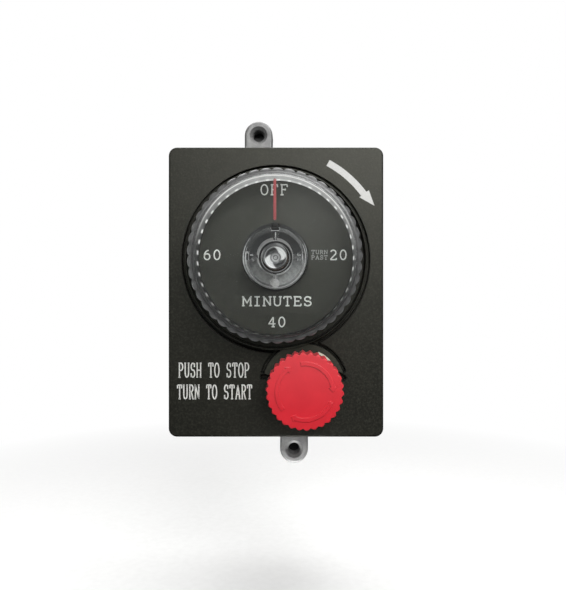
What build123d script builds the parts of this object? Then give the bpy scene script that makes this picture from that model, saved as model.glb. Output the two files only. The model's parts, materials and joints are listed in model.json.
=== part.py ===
"""Sixty-minute mechanical gas shut-off timer with an emergency-stop knob, in millimetres.

The frame has +X to the right, +Z up and -Y towards the user. A "level" is a distance forward from the
faceplate's back face, so it is positive on the user's side and negative in the body behind. Places on the
face are (x, z) pairs from the faceplate's centre, and angles run from +X towards +Z. Each piece is saved
with the origin on the rear cover's back face, straight behind the faceplate's centre.
"""

import os
from math import acos, asin, atan2, cos, degrees, dist, pi, radians, sin, tan

from build123d import *

os.makedirs("parts", exist_ok=True)

# ---------------------------------------------------------------- driving dimensions
PLATE_W, PLATE_H, PLATE_T, PLATE_CORNER_R = 89.0, 120.0, 3.0, 3.5
DIAL = (0.0, 13.7)  # dial axis
ESTOP = (11.5, -38.2)  # emergency-stop axis
RUN = 0.05  # radial clearance of everything that turns or slides

FLANGE_W, FLANGE_H, FLANGE_T = 77.0, 106.0, 6.0
LUG = (7.5, 66.4)  # the lower lug is at (x, -z) and the upper one at (-x, z)
LUG_R, LUG_T, LUG_HOLE_R, LUG_HOLE_DEPTH, LUG_BEVEL = 5.9, 9.5, 2.5, 8.0, 1.2
GASKET_T, COVER_GASKET_T, COVER_T = 2.5, 0.8, 3.2
BODY_FRONT, BODY_BACK = -GASKET_T, -54.0
FLANGE_BACK = BODY_FRONT - FLANGE_T
COVER_BACK = BODY_BACK - COVER_GASKET_T - COVER_T

ARBOR_R, ARBOR_FRONT, ARBOR_FLAT = 3.0, 12.0, 2.3
DIAL_TRAVEL = 270.0
ESTOP_TRAVEL, ESTOP_TURN = 4.0, 45.0  # the knob's push and its turn
ESTOP_SHAFT_R = 3.0

# Clock train: the wheels' teeth and modules. Every wheel drives a pinion of its own module.
GREAT_TEETH, GREAT_MODULE = 45, 0.6
SECOND_TEETH, SECOND_MODULE = 36, 0.5
THIRD_TEETH, THIRD_MODULE = 32, 0.45
PINION_TEETH = 12
PRESSURE_ANGLE, BACKLASH = 25.0, 0.10
GREAT_LEVELS = (-19.2, -18.0)
SECOND_LEVELS, SECOND_PINION_LEVELS = (-22.5, -21.5), (-20.0, -17.6)
THIRD_LEVELS, THIRD_PINION_LEVELS = (-25.3, -24.3), (-23.0, -21.0)
ESCAPE_LEVELS, ESCAPE_PINION_LEVELS = (-21.2, -20.2), (-25.8, -24.0)
BALANCE_LEVELS = (-24.0, -22.5)
HAIRSPRING_LEVELS = (-12.2, -11.6)


# ---------------------------------------------------------------- places and planes
def face(level):
    """The plane parallel to the faceplate at a level, with its normal towards the user."""
    return Plane.XZ.offset(level)


def turning(centre):
    """A half plane through an axis along Y, whose x is the radius and whose y is the level."""
    return Plane(origin=(centre[0], 0, centre[1]), x_dir=(1, 0, 0), z_dir=(0, 0, -1))


def axle(centre):
    return Axis((centre[0], 0, centre[1]), (0, -1, 0))


def save(builder, name):
    """Writes a finished piece, moved so that the rear cover's back face is at y = 0."""
    piece = builder.part.moved(Location((0, COVER_BACK, 0)))
    piece.label = name
    export_step(piece, f"parts/{name}.step")


def polar(centre, radius, angle):
    return (centre[0] + radius * cos(radians(angle)), centre[1] + radius * sin(radians(angle)))


def direction_of(origin, target):
    return degrees(atan2(target[1] - origin[1], target[0] - origin[0]))


# ---------------------------------------------------------------- shapes used many times
def disc(centre, radius, back, front, mode=Mode.ADD):
    """A cylinder along Y between two levels."""
    with BuildSketch(face(back)) as section:
        with Locations(centre):
            Circle(radius)
    extrude(section.sketch, amount=front - back, mode=mode)


def ring(centre, outer_r, inner_r, back, front, mode=Mode.ADD):
    with BuildSketch(face(back)) as section:
        with Locations(centre):
            Circle(outer_r)
            Circle(inner_r, mode=Mode.SUBTRACT)
    extrude(section.sketch, amount=front - back, mode=mode)


def turned(centre, profile, mode=Mode.ADD):
    """A closed profile of (radius, level) points revolved about an axis along Y."""
    with BuildSketch(turning(centre)) as section:
        with BuildLine():
            Polyline(*profile, close=True)
        make_face()
    revolve(section.sketch, axis=axle(centre), mode=mode)


def rod(start, direction, radius, length, mode=Mode.ADD):
    """A cylinder that starts at a point in space and runs along a direction."""
    with BuildSketch(Plane(origin=start, z_dir=direction)) as section:
        Circle(radius)
    extrude(section.sketch, amount=length, mode=mode)


def wedge(centre, first, last, reach):
    """The corners of a pie slice between two angles less than a half turn apart."""
    middle = (first + last) / 2
    return [centre] + [polar(centre, reach, angle) for angle in (first, middle, last)]


def involute(centre, teeth, module, phase, flank_steps=4):
    """The outline of a spur gear with the middle of one tooth at the phase angle."""
    pitch_r = teeth * module / 2
    base_r = pitch_r * cos(radians(PRESSURE_ANGLE))
    tip_r, root_r = pitch_r + module, pitch_r - 1.25 * module

    def roll(radius):
        turn = acos(min(1.0, base_r / radius))
        return tan(turn) - turn

    widest = pi / (2 * teeth) - BACKLASH / (2 * pitch_r) + roll(pitch_r)
    start_r = max(base_r, root_r)
    radii = [start_r + (tip_r - start_r) * step / flank_steps for step in range(flank_steps + 1)]
    flank = [(radius, degrees(widest - roll(radius))) for radius in radii]
    if root_r < base_r:
        flank.insert(0, (root_r, degrees(widest)))
    tooth = [(radius, -angle) for radius, angle in flank] + list(reversed(flank))
    middles = [phase + 360 * index / teeth for index in range(teeth)]
    return [polar(centre, radius, middle + angle) for middle in middles for radius, angle in tooth]


def gear(centre, teeth, module, phase, levels):
    with BuildSketch(face(levels[0])) as section:
        with BuildLine():
            Polyline(*involute(centre, teeth, module, phase), close=True)
        make_face()
    extrude(section.sketch, amount=levels[1] - levels[0])


def spiral_strip(centre, inner_r, outer_r, turns, first, thickness, levels):
    """A flat spiral of strip that grows from one radius to another."""
    steps = round(8 * turns)

    def edge(offset):
        points = []
        for step in range(steps + 1):
            radius = inner_r + (outer_r - inner_r) * step / steps + offset
            points.append(polar(centre, radius, first + 360 * turns * step / steps))
        return points

    with BuildSketch(face(levels[0])) as section:
        with BuildLine():
            inside = Spline(*edge(0))
            outside = Spline(*edge(thickness))
            Line(inside @ 0, outside @ 0)
            Line(inside @ 1, outside @ 1)
        make_face()
    extrude(section.sketch, amount=levels[1] - levels[0])


def coil(start, direction, length, radius, wire_r, turns):
    """A coil spring that starts at a point in space and runs along a direction."""
    with BuildLine() as path:
        Helix(length / turns, length, radius, center=start, direction=direction)
    with BuildSketch(Plane(origin=path.line @ 0, z_dir=path.line % 0)) as section:
        Circle(wire_r)
    sweep(section.sketch, path=path.line, is_frenet=True)


def scallops(centre, count, tip_r, valley_r):
    """Shallow arcs that meet in sharp valleys, as a closed outline."""
    pitch = 360 / count
    for index in range(count):
        middle = index * pitch
        ThreePointArc(
            polar(centre, valley_r, middle - pitch / 2),
            polar(centre, tip_r, middle),
            polar(centre, valley_r, middle + pitch / 2),
        )


# ---------------------------------------------------------------- clock train layout
def centre_distance(teeth, module):
    return (teeth + PINION_TEETH) * module / 2


def spread(near, far, apart):
    """The angle at the dial axis between two arbors, from their radii and their distance."""
    return degrees(acos((near**2 + far**2 - apart**2) / (2 * near * far)))


TRAIN_RADIUS, BALANCE_RADIUS, ESCAPE_TO_BALANCE = 16.0, 17.0, 9.0
SECOND_RADIUS = centre_distance(GREAT_TEETH, GREAT_MODULE)
SECOND_ANGLE = -90.0
THIRD_ANGLE = SECOND_ANGLE + spread(
    SECOND_RADIUS, TRAIN_RADIUS, centre_distance(SECOND_TEETH, SECOND_MODULE)
)
ESCAPE_ANGLE = THIRD_ANGLE + spread(
    TRAIN_RADIUS, TRAIN_RADIUS, centre_distance(THIRD_TEETH, THIRD_MODULE)
)
BALANCE_ANGLE = ESCAPE_ANGLE + spread(TRAIN_RADIUS, BALANCE_RADIUS, ESCAPE_TO_BALANCE)
SECOND = polar(DIAL, SECOND_RADIUS, SECOND_ANGLE)
THIRD = polar(DIAL, TRAIN_RADIUS, THIRD_ANGLE)
ESCAPE = polar(DIAL, TRAIN_RADIUS, ESCAPE_ANGLE)
BALANCE = polar(DIAL, BALANCE_RADIUS, BALANCE_ANGLE)

MOVEMENT_FRONT, MOVEMENT_BACK, MOVEMENT_PLATE_T, MOVEMENT_R = -8.0, -28.5, 1.5, 28.5
PIVOT_R, STAFF_R = 0.8, 1.2
PILLAR_R, PILLAR_BORE_R = 2.2, 1.3
PILLARS = [polar(DIAL, 26.0, angle) for angle in (60, 135, 225, 300)]

# ---------------------------------------------------------------- faceplate
DIAL_FACE_R, DIAL_FACE_LEVEL, DIAL_FACE_T = 31.0, 10.0, 2.0
WELL_R, WELL_WALL = 13.2, 2.0  # round well that the knob's hub drops into
LIP_IN_R, LIP_OUT_R, LIP_LEVEL, LIP_BEVEL = 36.8, 37.6, 4.8, 0.25
GROOVE_W, GROOVE_D = 1.3, 2.0
GROOVE_FLOOR = PLATE_T - GROOVE_D
GUARD_R, GUARD_LEVEL, GUARD_ENDS = 17.0, 4.2, (17.0, 164.0)
NOTCH_L, NOTCH_W, NOTCH_RADIUS = 4.0, 1.8, 16.1
NOTCHES = {12.5: -39.0, 168.6: 0.0}  # the angle of each notch's place and its tilt
BUSHING_R, ESTOP_HOLE_R = 5.2, 6.6
STANDOFF_R, TAPPED_R, TAPPED_TOP = 3.4, 1.25, 1.5
FACEPLATE_SCREWS = [(x, z) for x in (-35.0, 35.0) for z in (-48.5, 48.5)]

with BuildPart() as faceplate:
    with BuildSketch(face(0)):
        RectangleRounded(PLATE_W, PLATE_H, PLATE_CORNER_R)
    extrude(amount=PLATE_T)
    fillet(faceplate.faces().sort_by(Axis.Y)[0].edges(), 0.8)
    # The dial face stands in a channel, with a thin lip and a groove round it.
    ring(DIAL, LIP_OUT_R + GROOVE_W, DIAL_FACE_R, GROOVE_FLOOR, PLATE_T, Mode.SUBTRACT)
    lip = [
        (LIP_IN_R, GROOVE_FLOOR),
        (LIP_IN_R, LIP_LEVEL - LIP_BEVEL),
        (LIP_IN_R + LIP_BEVEL, LIP_LEVEL),
        (LIP_OUT_R - LIP_BEVEL, LIP_LEVEL),
        (LIP_OUT_R, LIP_LEVEL - LIP_BEVEL),
        (LIP_OUT_R, GROOVE_FLOOR),
    ]
    turned(DIAL, lip)
    disc(DIAL, DIAL_FACE_R, GROOVE_FLOOR, DIAL_FACE_LEVEL)
    disc(DIAL, WELL_R, PLATE_T, DIAL_FACE_LEVEL, Mode.SUBTRACT)
    hollow_levels = (0, DIAL_FACE_LEVEL - DIAL_FACE_T)
    ring(DIAL, DIAL_FACE_R - 2.5, WELL_R + WELL_WALL, *hollow_levels, Mode.SUBTRACT)
    # The crescent guard over the emergency-stop knob runs up to the dial's lip.
    guard_slice = wedge((0, 0), *GUARD_ENDS, 3 * GUARD_R)
    with BuildSketch(face(GROOVE_FLOOR)):
        with Locations(ESTOP):
            Circle(GUARD_R + GROOVE_W)
            Circle(GUARD_R, mode=Mode.SUBTRACT)
            Polygon(*guard_slice, mode=Mode.INTERSECT)
        with Locations(DIAL):
            Circle(LIP_OUT_R, mode=Mode.SUBTRACT)
    extrude(amount=GROOVE_D, mode=Mode.SUBTRACT)
    with BuildSketch(face(GROOVE_FLOOR)):
        with Locations(ESTOP):
            Circle(GUARD_R)
            Polygon(*guard_slice, mode=Mode.INTERSECT)
        with Locations(DIAL):
            Circle(LIP_OUT_R, mode=Mode.SUBTRACT)
    extrude(amount=GUARD_LEVEL - GROOVE_FLOOR)
    # A short notch under each end of the guard.
    with BuildSketch(face(GROOVE_FLOOR)):
        for angle, tilt in NOTCHES.items():
            with Locations(polar(ESTOP, NOTCH_RADIUS, angle)):
                Rectangle(NOTCH_L, NOTCH_W, rotation=tilt)
    extrude(amount=GUARD_LEVEL, mode=Mode.SUBTRACT)
    disc(DIAL, BUSHING_R, 0, PLATE_T, Mode.SUBTRACT)
    disc(ESTOP, ESTOP_HOLE_R, 0, GUARD_LEVEL, Mode.SUBTRACT)
    for spot in FACEPLATE_SCREWS:
        disc(spot, STANDOFF_R, BODY_FRONT, 0)
        disc(spot, TAPPED_R, BODY_FRONT, TAPPED_TOP, Mode.SUBTRACT)
save(faceplate, "faceplate")

DIAL_WASHER_R, DIAL_WASHER_T = 12.6, 0.6
with BuildPart() as dial_washer:
    ring(DIAL, DIAL_WASHER_R, BUSHING_R + RUN, PLATE_T, PLATE_T + DIAL_WASHER_T)
save(dial_washer, "dial_washer")

GASKET_WINDOW = (64.0, 90.0)
with BuildPart() as panel_gasket:
    with BuildSketch(face(BODY_FRONT)):
        RectangleRounded(FLANGE_W, FLANGE_H, PLATE_CORNER_R)
        RectangleRounded(*GASKET_WINDOW, 2, mode=Mode.SUBTRACT)
        with Locations(*FACEPLATE_SCREWS):
            Circle(STANDOFF_R, mode=Mode.SUBTRACT)
    extrude(amount=GASKET_T)
save(panel_gasket, "panel_gasket")

SCREW_SHANK_R, SCREW_HEAD_R, SCREW_HEAD_T = 1.25, 2.9, 2.0
with BuildPart() as faceplate_screws:
    for spot in FACEPLATE_SCREWS:
        disc(spot, SCREW_SHANK_R, FLANGE_BACK, TAPPED_TOP - 0.5)
        disc(spot, SCREW_HEAD_R, FLANGE_BACK - SCREW_HEAD_T, FLANGE_BACK)
        with BuildSketch(face(FLANGE_BACK - SCREW_HEAD_T)):
            with Locations(spot):
                Rectangle(3.0, 0.7)
                Rectangle(0.7, 3.0)
        extrude(amount=1.1, mode=Mode.SUBTRACT)
save(faceplate_screws, "faceplate_screws")

# ---------------------------------------------------------------- clear dial knob
KNOB_TIP_R, KNOB_VALLEY_R, KNOB_IN_R, KNOB_FLUTES = 33.4, 32.5, 31.5, 45
KNOB_BACK, KNOB_FRONT, KNOB_FACE_T, KNOB_EDGE_R = 4.2, 25.0, 2.4, 2.2
KNOB_CEILING = KNOB_FRONT - KNOB_FACE_T
HUB_OUT_R, HUB_WALL, HUB_IN_R, INSERT_R, HUB_BACK = 12.4, 1.4, 6.9, 4.75, 5.0
RIB_T, PAD_R = 1.4, 1.7
POINTER_W, POINTER_D, POINTER_IN_R, POINTER_OUT_R = 1.3, 0.3, 13.8, 29.5

with BuildPart() as dial_knob:
    with BuildSketch(face(KNOB_BACK)):
        with BuildLine():
            scallops(DIAL, KNOB_FLUTES, KNOB_TIP_R, KNOB_VALLEY_R)
        make_face()
    extrude(amount=KNOB_FRONT - KNOB_BACK)
    # A rounded envelope runs the scallops out along the front edge.
    envelope_r = KNOB_TIP_R + 0.2
    with BuildSketch(turning(DIAL)):
        with BuildLine():
            edge_level = KNOB_FRONT - KNOB_EDGE_R
            Polyline((0, KNOB_FRONT), (0, KNOB_BACK), (envelope_r, KNOB_BACK), (envelope_r, edge_level))
            CenterArc((envelope_r - KNOB_EDGE_R, edge_level), KNOB_EDGE_R, 0, 90)
            Line((envelope_r - KNOB_EDGE_R, KNOB_FRONT), (0, KNOB_FRONT))
        make_face()
    revolve(axis=axle(DIAL), mode=Mode.INTERSECT)
    # Hollow cup with a round inside corner.
    with BuildSketch(turning(DIAL)):
        with BuildLine():
            corner = (KNOB_IN_R, KNOB_CEILING - 1)
            Polyline((0, KNOB_CEILING), (0, KNOB_BACK), (KNOB_IN_R, KNOB_BACK), corner)
            CenterArc((KNOB_IN_R - 1, KNOB_CEILING - 1), 1, 0, 90)
            Line((KNOB_IN_R - 1, KNOB_CEILING), (0, KNOB_CEILING))
        make_face()
    revolve(axis=axle(DIAL), mode=Mode.SUBTRACT)
    # Hub: two rings joined by four ribs, with an ejector pad where each rib meets the outer ring.
    ring(DIAL, HUB_OUT_R, HUB_OUT_R - HUB_WALL, HUB_BACK, KNOB_CEILING)
    ring(DIAL, HUB_IN_R, INSERT_R, HUB_BACK, KNOB_CEILING)
    with BuildSketch(face(HUB_BACK + 1)):
        with Locations(DIAL):
            Rectangle(2 * HUB_OUT_R - HUB_WALL, RIB_T)
            Rectangle(RIB_T, 2 * HUB_OUT_R - HUB_WALL)
            with PolarLocations(HUB_OUT_R - HUB_WALL - PAD_R / 2, 4):
                Circle(PAD_R)
            Circle((HUB_IN_R + INSERT_R) / 2, mode=Mode.SUBTRACT)
    extrude(amount=KNOB_CEILING - HUB_BACK - 1)
    # Shallow groove under the face that holds the pointer's paint.
    with BuildSketch(face(KNOB_CEILING)):
        with Locations((DIAL[0], DIAL[1] + (POINTER_IN_R + POINTER_OUT_R) / 2)):
            Rectangle(POINTER_W, POINTER_OUT_R - POINTER_IN_R)
    extrude(amount=POINTER_D, mode=Mode.SUBTRACT)
save(dial_knob, "dial_knob")

INSERT_BACK, INSERT_FRONT, INSERT_DISH = 5.5, 11.2, 0.9
with BuildPart() as knob_insert:
    insert_profile = [
        (0, INSERT_BACK),
        (INSERT_R, INSERT_BACK),
        (INSERT_R, INSERT_FRONT - 0.3),
        (INSERT_R - 0.3, INSERT_FRONT),
        (INSERT_R - 0.6, INSERT_FRONT),
        (ARBOR_R + 0.2, INSERT_FRONT - INSERT_DISH),
        (0, INSERT_FRONT - INSERT_DISH),
    ]
    turned(DIAL, insert_profile)
    with BuildSketch(face(INSERT_BACK)):
        with Locations(DIAL):
            Circle(ARBOR_R + RUN)
            with Locations((0, ARBOR_FLAT + RUN + ARBOR_R)):
                Rectangle(4 * ARBOR_R, 2 * ARBOR_R, mode=Mode.SUBTRACT)
    extrude(amount=INSERT_FRONT - INSERT_BACK, mode=Mode.SUBTRACT)
save(knob_insert, "knob_insert")

# ---------------------------------------------------------------- main arbor, bearing and end stops
CAM_BACK, CAM_FRONT = -41.0, -37.0
ARBOR_BACK, ARBOR_BEVEL, CENTRE_HOLE_R = CAM_BACK - 0.8, 0.5, 1.3

with BuildPart() as main_arbor:
    arbor_profile = [
        (0, ARBOR_BACK),
        (ARBOR_R - ARBOR_BEVEL, ARBOR_BACK),
        (ARBOR_R, ARBOR_BACK + ARBOR_BEVEL),
        (ARBOR_R, ARBOR_FRONT - ARBOR_BEVEL),
        (ARBOR_R - ARBOR_BEVEL, ARBOR_FRONT),
        (CENTRE_HOLE_R, ARBOR_FRONT),
        (0, ARBOR_FRONT - CENTRE_HOLE_R),
    ]
    turned(DIAL, arbor_profile)
    with BuildSketch(face(HUB_BACK)):
        with Locations((DIAL[0], DIAL[1] + ARBOR_FLAT + ARBOR_R)):
            Rectangle(4 * ARBOR_R, 2 * ARBOR_R)
    extrude(amount=ARBOR_FRONT - HUB_BACK, mode=Mode.SUBTRACT)
save(main_arbor, "main_arbor")

BUSHING_FLANGE_R, BUSHING_FLANGE_T, BUSHING_FRONT = 7.5, 1.2, 4.4
with BuildPart() as arbor_bushing:
    ring(DIAL, BUSHING_FLANGE_R, ARBOR_R + RUN, -BUSHING_FLANGE_T, 0)
    ring(DIAL, BUSHING_R, ARBOR_R + RUN, 0, BUSHING_FRONT)
save(arbor_bushing, "arbor_bushing")

STOP_LEVELS, STOP_R, STOP_HUB_R = (-6.8, -5.2), 12.5, 5.5
STOP_PIN_R, STOP_PIN = 1.0, polar(DIAL, 10.0, 90)
STOP_SLICE = 360 - DIAL_TRAVEL - 2 * degrees(asin(STOP_PIN_R / 10.0)) - 1.0
STOP_START = 90 - degrees(asin(STOP_PIN_R / 10.0)) - 0.5
with BuildPart() as stop_sector:
    with BuildSketch(face(STOP_LEVELS[0])):
        with Locations(DIAL):
            Circle(STOP_R)
            Polygon(*wedge((0, 0), STOP_START - STOP_SLICE, STOP_START, 3 * STOP_R), mode=Mode.INTERSECT)
            Circle(STOP_HUB_R)
            Circle(ARBOR_R, mode=Mode.SUBTRACT)
    extrude(amount=STOP_LEVELS[1] - STOP_LEVELS[0])
save(stop_sector, "stop_sector")

with BuildPart() as stop_pin:
    disc(STOP_PIN, STOP_PIN_R, MOVEMENT_FRONT - MOVEMENT_PLATE_T, STOP_LEVELS[1])
save(stop_pin, "stop_pin")

# ---------------------------------------------------------------- movement frame
PLATE_UNDERSIDE = MOVEMENT_FRONT - MOVEMENT_PLATE_T
BACK_PLATE_TOP = MOVEMENT_BACK + MOVEMENT_PLATE_T
SPRING_POST_R, SPRING_POST = 0.8, polar(DIAL, 13.2, 180)


def movement_plate(back):
    """A brass plate with the bearing holes, the pillar holes and a window."""
    disc(DIAL, MOVEMENT_R, back, back + MOVEMENT_PLATE_T)
    disc(DIAL, ARBOR_R + RUN, back, back + MOVEMENT_PLATE_T, Mode.SUBTRACT)
    for arbor in (SECOND, THIRD, ESCAPE, BALANCE):
        disc(arbor, PIVOT_R + RUN, back, back + MOVEMENT_PLATE_T, Mode.SUBTRACT)
    for pillar in PILLARS:
        disc(pillar, PILLAR_BORE_R, back, back + MOVEMENT_PLATE_T, Mode.SUBTRACT)
    disc(polar(DIAL, 19.5, 180), 4.0, back, back + MOVEMENT_PLATE_T, Mode.SUBTRACT)


with BuildPart() as movement_front_plate:
    movement_plate(PLATE_UNDERSIDE)
    disc(STOP_PIN, STOP_PIN_R, PLATE_UNDERSIDE, MOVEMENT_FRONT, Mode.SUBTRACT)
    disc(SPRING_POST, SPRING_POST_R, PLATE_UNDERSIDE, MOVEMENT_FRONT, Mode.SUBTRACT)
save(movement_front_plate, "movement_front_plate")

with BuildPart() as movement_back_plate:
    movement_plate(MOVEMENT_BACK)
save(movement_back_plate, "movement_back_plate")

with BuildPart() as movement_pillars:
    for pillar in PILLARS:
        ring(pillar, PILLAR_R, PILLAR_BORE_R, BACK_PLATE_TOP, PLATE_UNDERSIDE)
save(movement_pillars, "movement_pillars")

POCKET_R, POCKET_FLOOR = 29.0, -31.0
MOVEMENT_SCREW_R, MOVEMENT_SCREW_TIP = 1.2, POCKET_FLOOR - 2.6
with BuildPart() as movement_screws:
    for pillar in PILLARS:
        disc(pillar, MOVEMENT_SCREW_R, MOVEMENT_SCREW_TIP, MOVEMENT_FRONT)
        disc(pillar, 2 * MOVEMENT_SCREW_R, MOVEMENT_FRONT, MOVEMENT_FRONT + 1.6)
        with BuildSketch(face(MOVEMENT_FRONT + 0.8)):
            with Locations(pillar):
                Rectangle(5 * MOVEMENT_SCREW_R, 0.6)
        extrude(amount=1, mode=Mode.SUBTRACT)
save(movement_screws, "movement_screws")

with BuildPart() as movement_spacers:
    for pillar in PILLARS:
        ring(pillar, PILLAR_R, PILLAR_BORE_R, POCKET_FLOOR, MOVEMENT_BACK)
save(movement_spacers, "movement_spacers")

SPRING_STRIP_T, MAINSPRING_LEVELS = 0.35, (-16.2, -10.4)
with BuildPart() as mainspring:
    outer_r = 13.2 - SPRING_POST_R - SPRING_STRIP_T - 0.02
    spiral_strip(DIAL, ARBOR_R + 0.3, outer_r, 5, 180, SPRING_STRIP_T, MAINSPRING_LEVELS)
save(mainspring, "mainspring")

with BuildPart() as spring_post:
    disc(SPRING_POST, SPRING_POST_R, MAINSPRING_LEVELS[0] - 0.4, MOVEMENT_FRONT)
save(spring_post, "spring_post")


# ---------------------------------------------------------------- clock train
def spoke_holes(centre, radius, hole_r, levels):
    for index in range(4):
        disc(polar(centre, radius, 45 + 90 * index), hole_r, *levels, Mode.SUBTRACT)


def pivoted_staff(centre):
    """A staff between the movement plates with a thin pivot at each end."""
    disc(centre, PIVOT_R, MOVEMENT_BACK + 0.3, MOVEMENT_FRONT - 0.3)
    disc(centre, STAFF_R, BACK_PLATE_TOP + 0.2, PLATE_UNDERSIDE - 0.2)


def train_wheel(centre, teeth, module, phase, levels):
    gear(centre, teeth, module, phase, levels)
    spoke_holes(centre, teeth * module * 0.29, teeth * module * 0.11, levels)
    disc(centre, STAFF_R, *levels, Mode.SUBTRACT)


def pinion_phase(driver, driven):
    """Puts a gap of the driven pinion on the line to its driver."""
    return direction_of(driver, driven) + 180 + 180 / PINION_TEETH


with BuildPart() as great_wheel:
    gear(DIAL, GREAT_TEETH, GREAT_MODULE, SECOND_ANGLE, GREAT_LEVELS)
    spoke_holes(DIAL, 8.6, 2.4, GREAT_LEVELS)
    disc(DIAL, 4.6, GREAT_LEVELS[0] - 1.2, GREAT_LEVELS[0])
    disc(DIAL, ARBOR_R, GREAT_LEVELS[0] - 1.2, GREAT_LEVELS[1], Mode.SUBTRACT)
save(great_wheel, "great_wheel")

CLUTCH_R, CLUTCH_T, CLIP_T = 5.4, 0.4, 0.6
with BuildPart() as clutch_washer:
    ring(DIAL, CLUTCH_R, ARBOR_R + RUN, GREAT_LEVELS[1], GREAT_LEVELS[1] + CLUTCH_T)
save(clutch_washer, "clutch_washer")

with BuildPart() as clutch_clip:
    clip_back = GREAT_LEVELS[1] + CLUTCH_T
    ring(DIAL, CLUTCH_R - 0.6, ARBOR_R, clip_back, clip_back + CLIP_T)
    with BuildSketch(face(clip_back)):
        with Locations((DIAL[0] + CLUTCH_R, DIAL[1])):
            Rectangle(2 * CLUTCH_R, 2.6)
    extrude(amount=CLIP_T, mode=Mode.SUBTRACT)
save(clutch_clip, "clutch_clip")

with BuildPart() as second_arbor:
    pivoted_staff(SECOND)
    gear(SECOND, PINION_TEETH, GREAT_MODULE, pinion_phase(DIAL, SECOND), SECOND_PINION_LEVELS)
save(second_arbor, "second_arbor")

with BuildPart() as second_wheel:
    train_wheel(SECOND, SECOND_TEETH, SECOND_MODULE, direction_of(SECOND, THIRD), SECOND_LEVELS)
save(second_wheel, "second_wheel")

with BuildPart() as third_arbor:
    pivoted_staff(THIRD)
    gear(THIRD, PINION_TEETH, SECOND_MODULE, pinion_phase(SECOND, THIRD), THIRD_PINION_LEVELS)
save(third_arbor, "third_arbor")

with BuildPart() as third_wheel:
    train_wheel(THIRD, THIRD_TEETH, THIRD_MODULE, direction_of(THIRD, ESCAPE), THIRD_LEVELS)
save(third_wheel, "third_wheel")

with BuildPart() as escape_arbor:
    pivoted_staff(ESCAPE)
    gear(ESCAPE, PINION_TEETH, THIRD_MODULE, pinion_phase(THIRD, ESCAPE), ESCAPE_PINION_LEVELS)
save(escape_arbor, "escape_arbor")

ESCAPE_TEETH, ESCAPE_TIP_R, ESCAPE_ROOT_R = 15, 6.0, 4.6
with BuildPart() as escape_wheel:
    escape_pitch = 360 / ESCAPE_TEETH
    escape_outline = []
    for index in range(ESCAPE_TEETH):
        start = index * escape_pitch
        escape_outline.append(polar(ESCAPE, ESCAPE_ROOT_R, start))
        escape_outline.append(polar(ESCAPE, ESCAPE_TIP_R, start + 0.15 * escape_pitch))
        escape_outline.append(polar(ESCAPE, ESCAPE_TIP_R, start + 0.25 * escape_pitch))
    with BuildSketch(face(ESCAPE_LEVELS[0])):
        with BuildLine():
            Polyline(*escape_outline, close=True)
        make_face()
        with Locations(ESCAPE):
            Circle(STAFF_R, mode=Mode.SUBTRACT)
    extrude(amount=ESCAPE_LEVELS[1] - ESCAPE_LEVELS[0])
    spoke_holes(ESCAPE, 2.9, 0.9, ESCAPE_LEVELS)
save(escape_wheel, "escape_wheel")

PALLET_REACH, PALLET_W = 2.7, 0.7
with BuildPart() as balance_staff:
    pivoted_staff(BALANCE)
    with BuildSketch(face(ESCAPE_LEVELS[0])):
        for side in (-35, 35):
            towards = direction_of(BALANCE, ESCAPE) + side
            with Locations(polar(BALANCE, PALLET_REACH / 2, towards)):
                Rectangle(PALLET_REACH, PALLET_W, rotation=towards)
    extrude(amount=ESCAPE_LEVELS[1] - ESCAPE_LEVELS[0])
save(balance_staff, "balance_staff")

BALANCE_R, BALANCE_RIM = 7.4, 1.4
with BuildPart() as balance_wheel:
    ring(BALANCE, BALANCE_R, BALANCE_R - BALANCE_RIM, *BALANCE_LEVELS)
    with BuildSketch(face(BALANCE_LEVELS[0])):
        with Locations(BALANCE):
            Rectangle(2 * BALANCE_R - BALANCE_RIM, 1.6)
            Circle(2.2)
            Circle(STAFF_R, mode=Mode.SUBTRACT)
    extrude(amount=BALANCE_LEVELS[1] - BALANCE_LEVELS[0])
save(balance_wheel, "balance_wheel")

with BuildPart() as hairspring:
    spiral_strip(BALANCE, STAFF_R + 0.1, 3.9, 4, 0, 0.12, HAIRSPRING_LEVELS)
save(hairspring, "hairspring")

# ---------------------------------------------------------------- timer cam
CAM_LOW_R, CAM_RISE, CAM_DWELL, CAM_HUB_R, CAM_HUB_FRONT = 6.0, 2.5, 20.0, 4.6, -33.5


def cam_radius(turn):
    """The cam's radius at an angle after the follower, where the dial's travel lifts it."""
    if turn <= DIAL_TRAVEL:
        return CAM_LOW_R + CAM_RISE * turn / DIAL_TRAVEL
    if turn <= DIAL_TRAVEL + CAM_DWELL:
        return CAM_LOW_R + CAM_RISE
    share = min(1.0, (turn - DIAL_TRAVEL - CAM_DWELL) / (360 - DIAL_TRAVEL - 2 * CAM_DWELL))
    return CAM_LOW_R + CAM_RISE * (1 - share)


with BuildPart() as timer_cam:
    cam_points = [polar(DIAL, cam_radius(turn), 180 + turn) for turn in range(0, 360, 5)]
    with BuildSketch(face(CAM_BACK)):
        with BuildLine():
            Polyline(*cam_points, close=True)
        make_face()
    extrude(amount=CAM_FRONT - CAM_BACK)
    disc(DIAL, CAM_HUB_R, CAM_FRONT, CAM_HUB_FRONT)
    disc(DIAL, ARBOR_R, CAM_BACK, CAM_HUB_FRONT, Mode.SUBTRACT)
save(timer_cam, "timer_cam")

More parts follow.
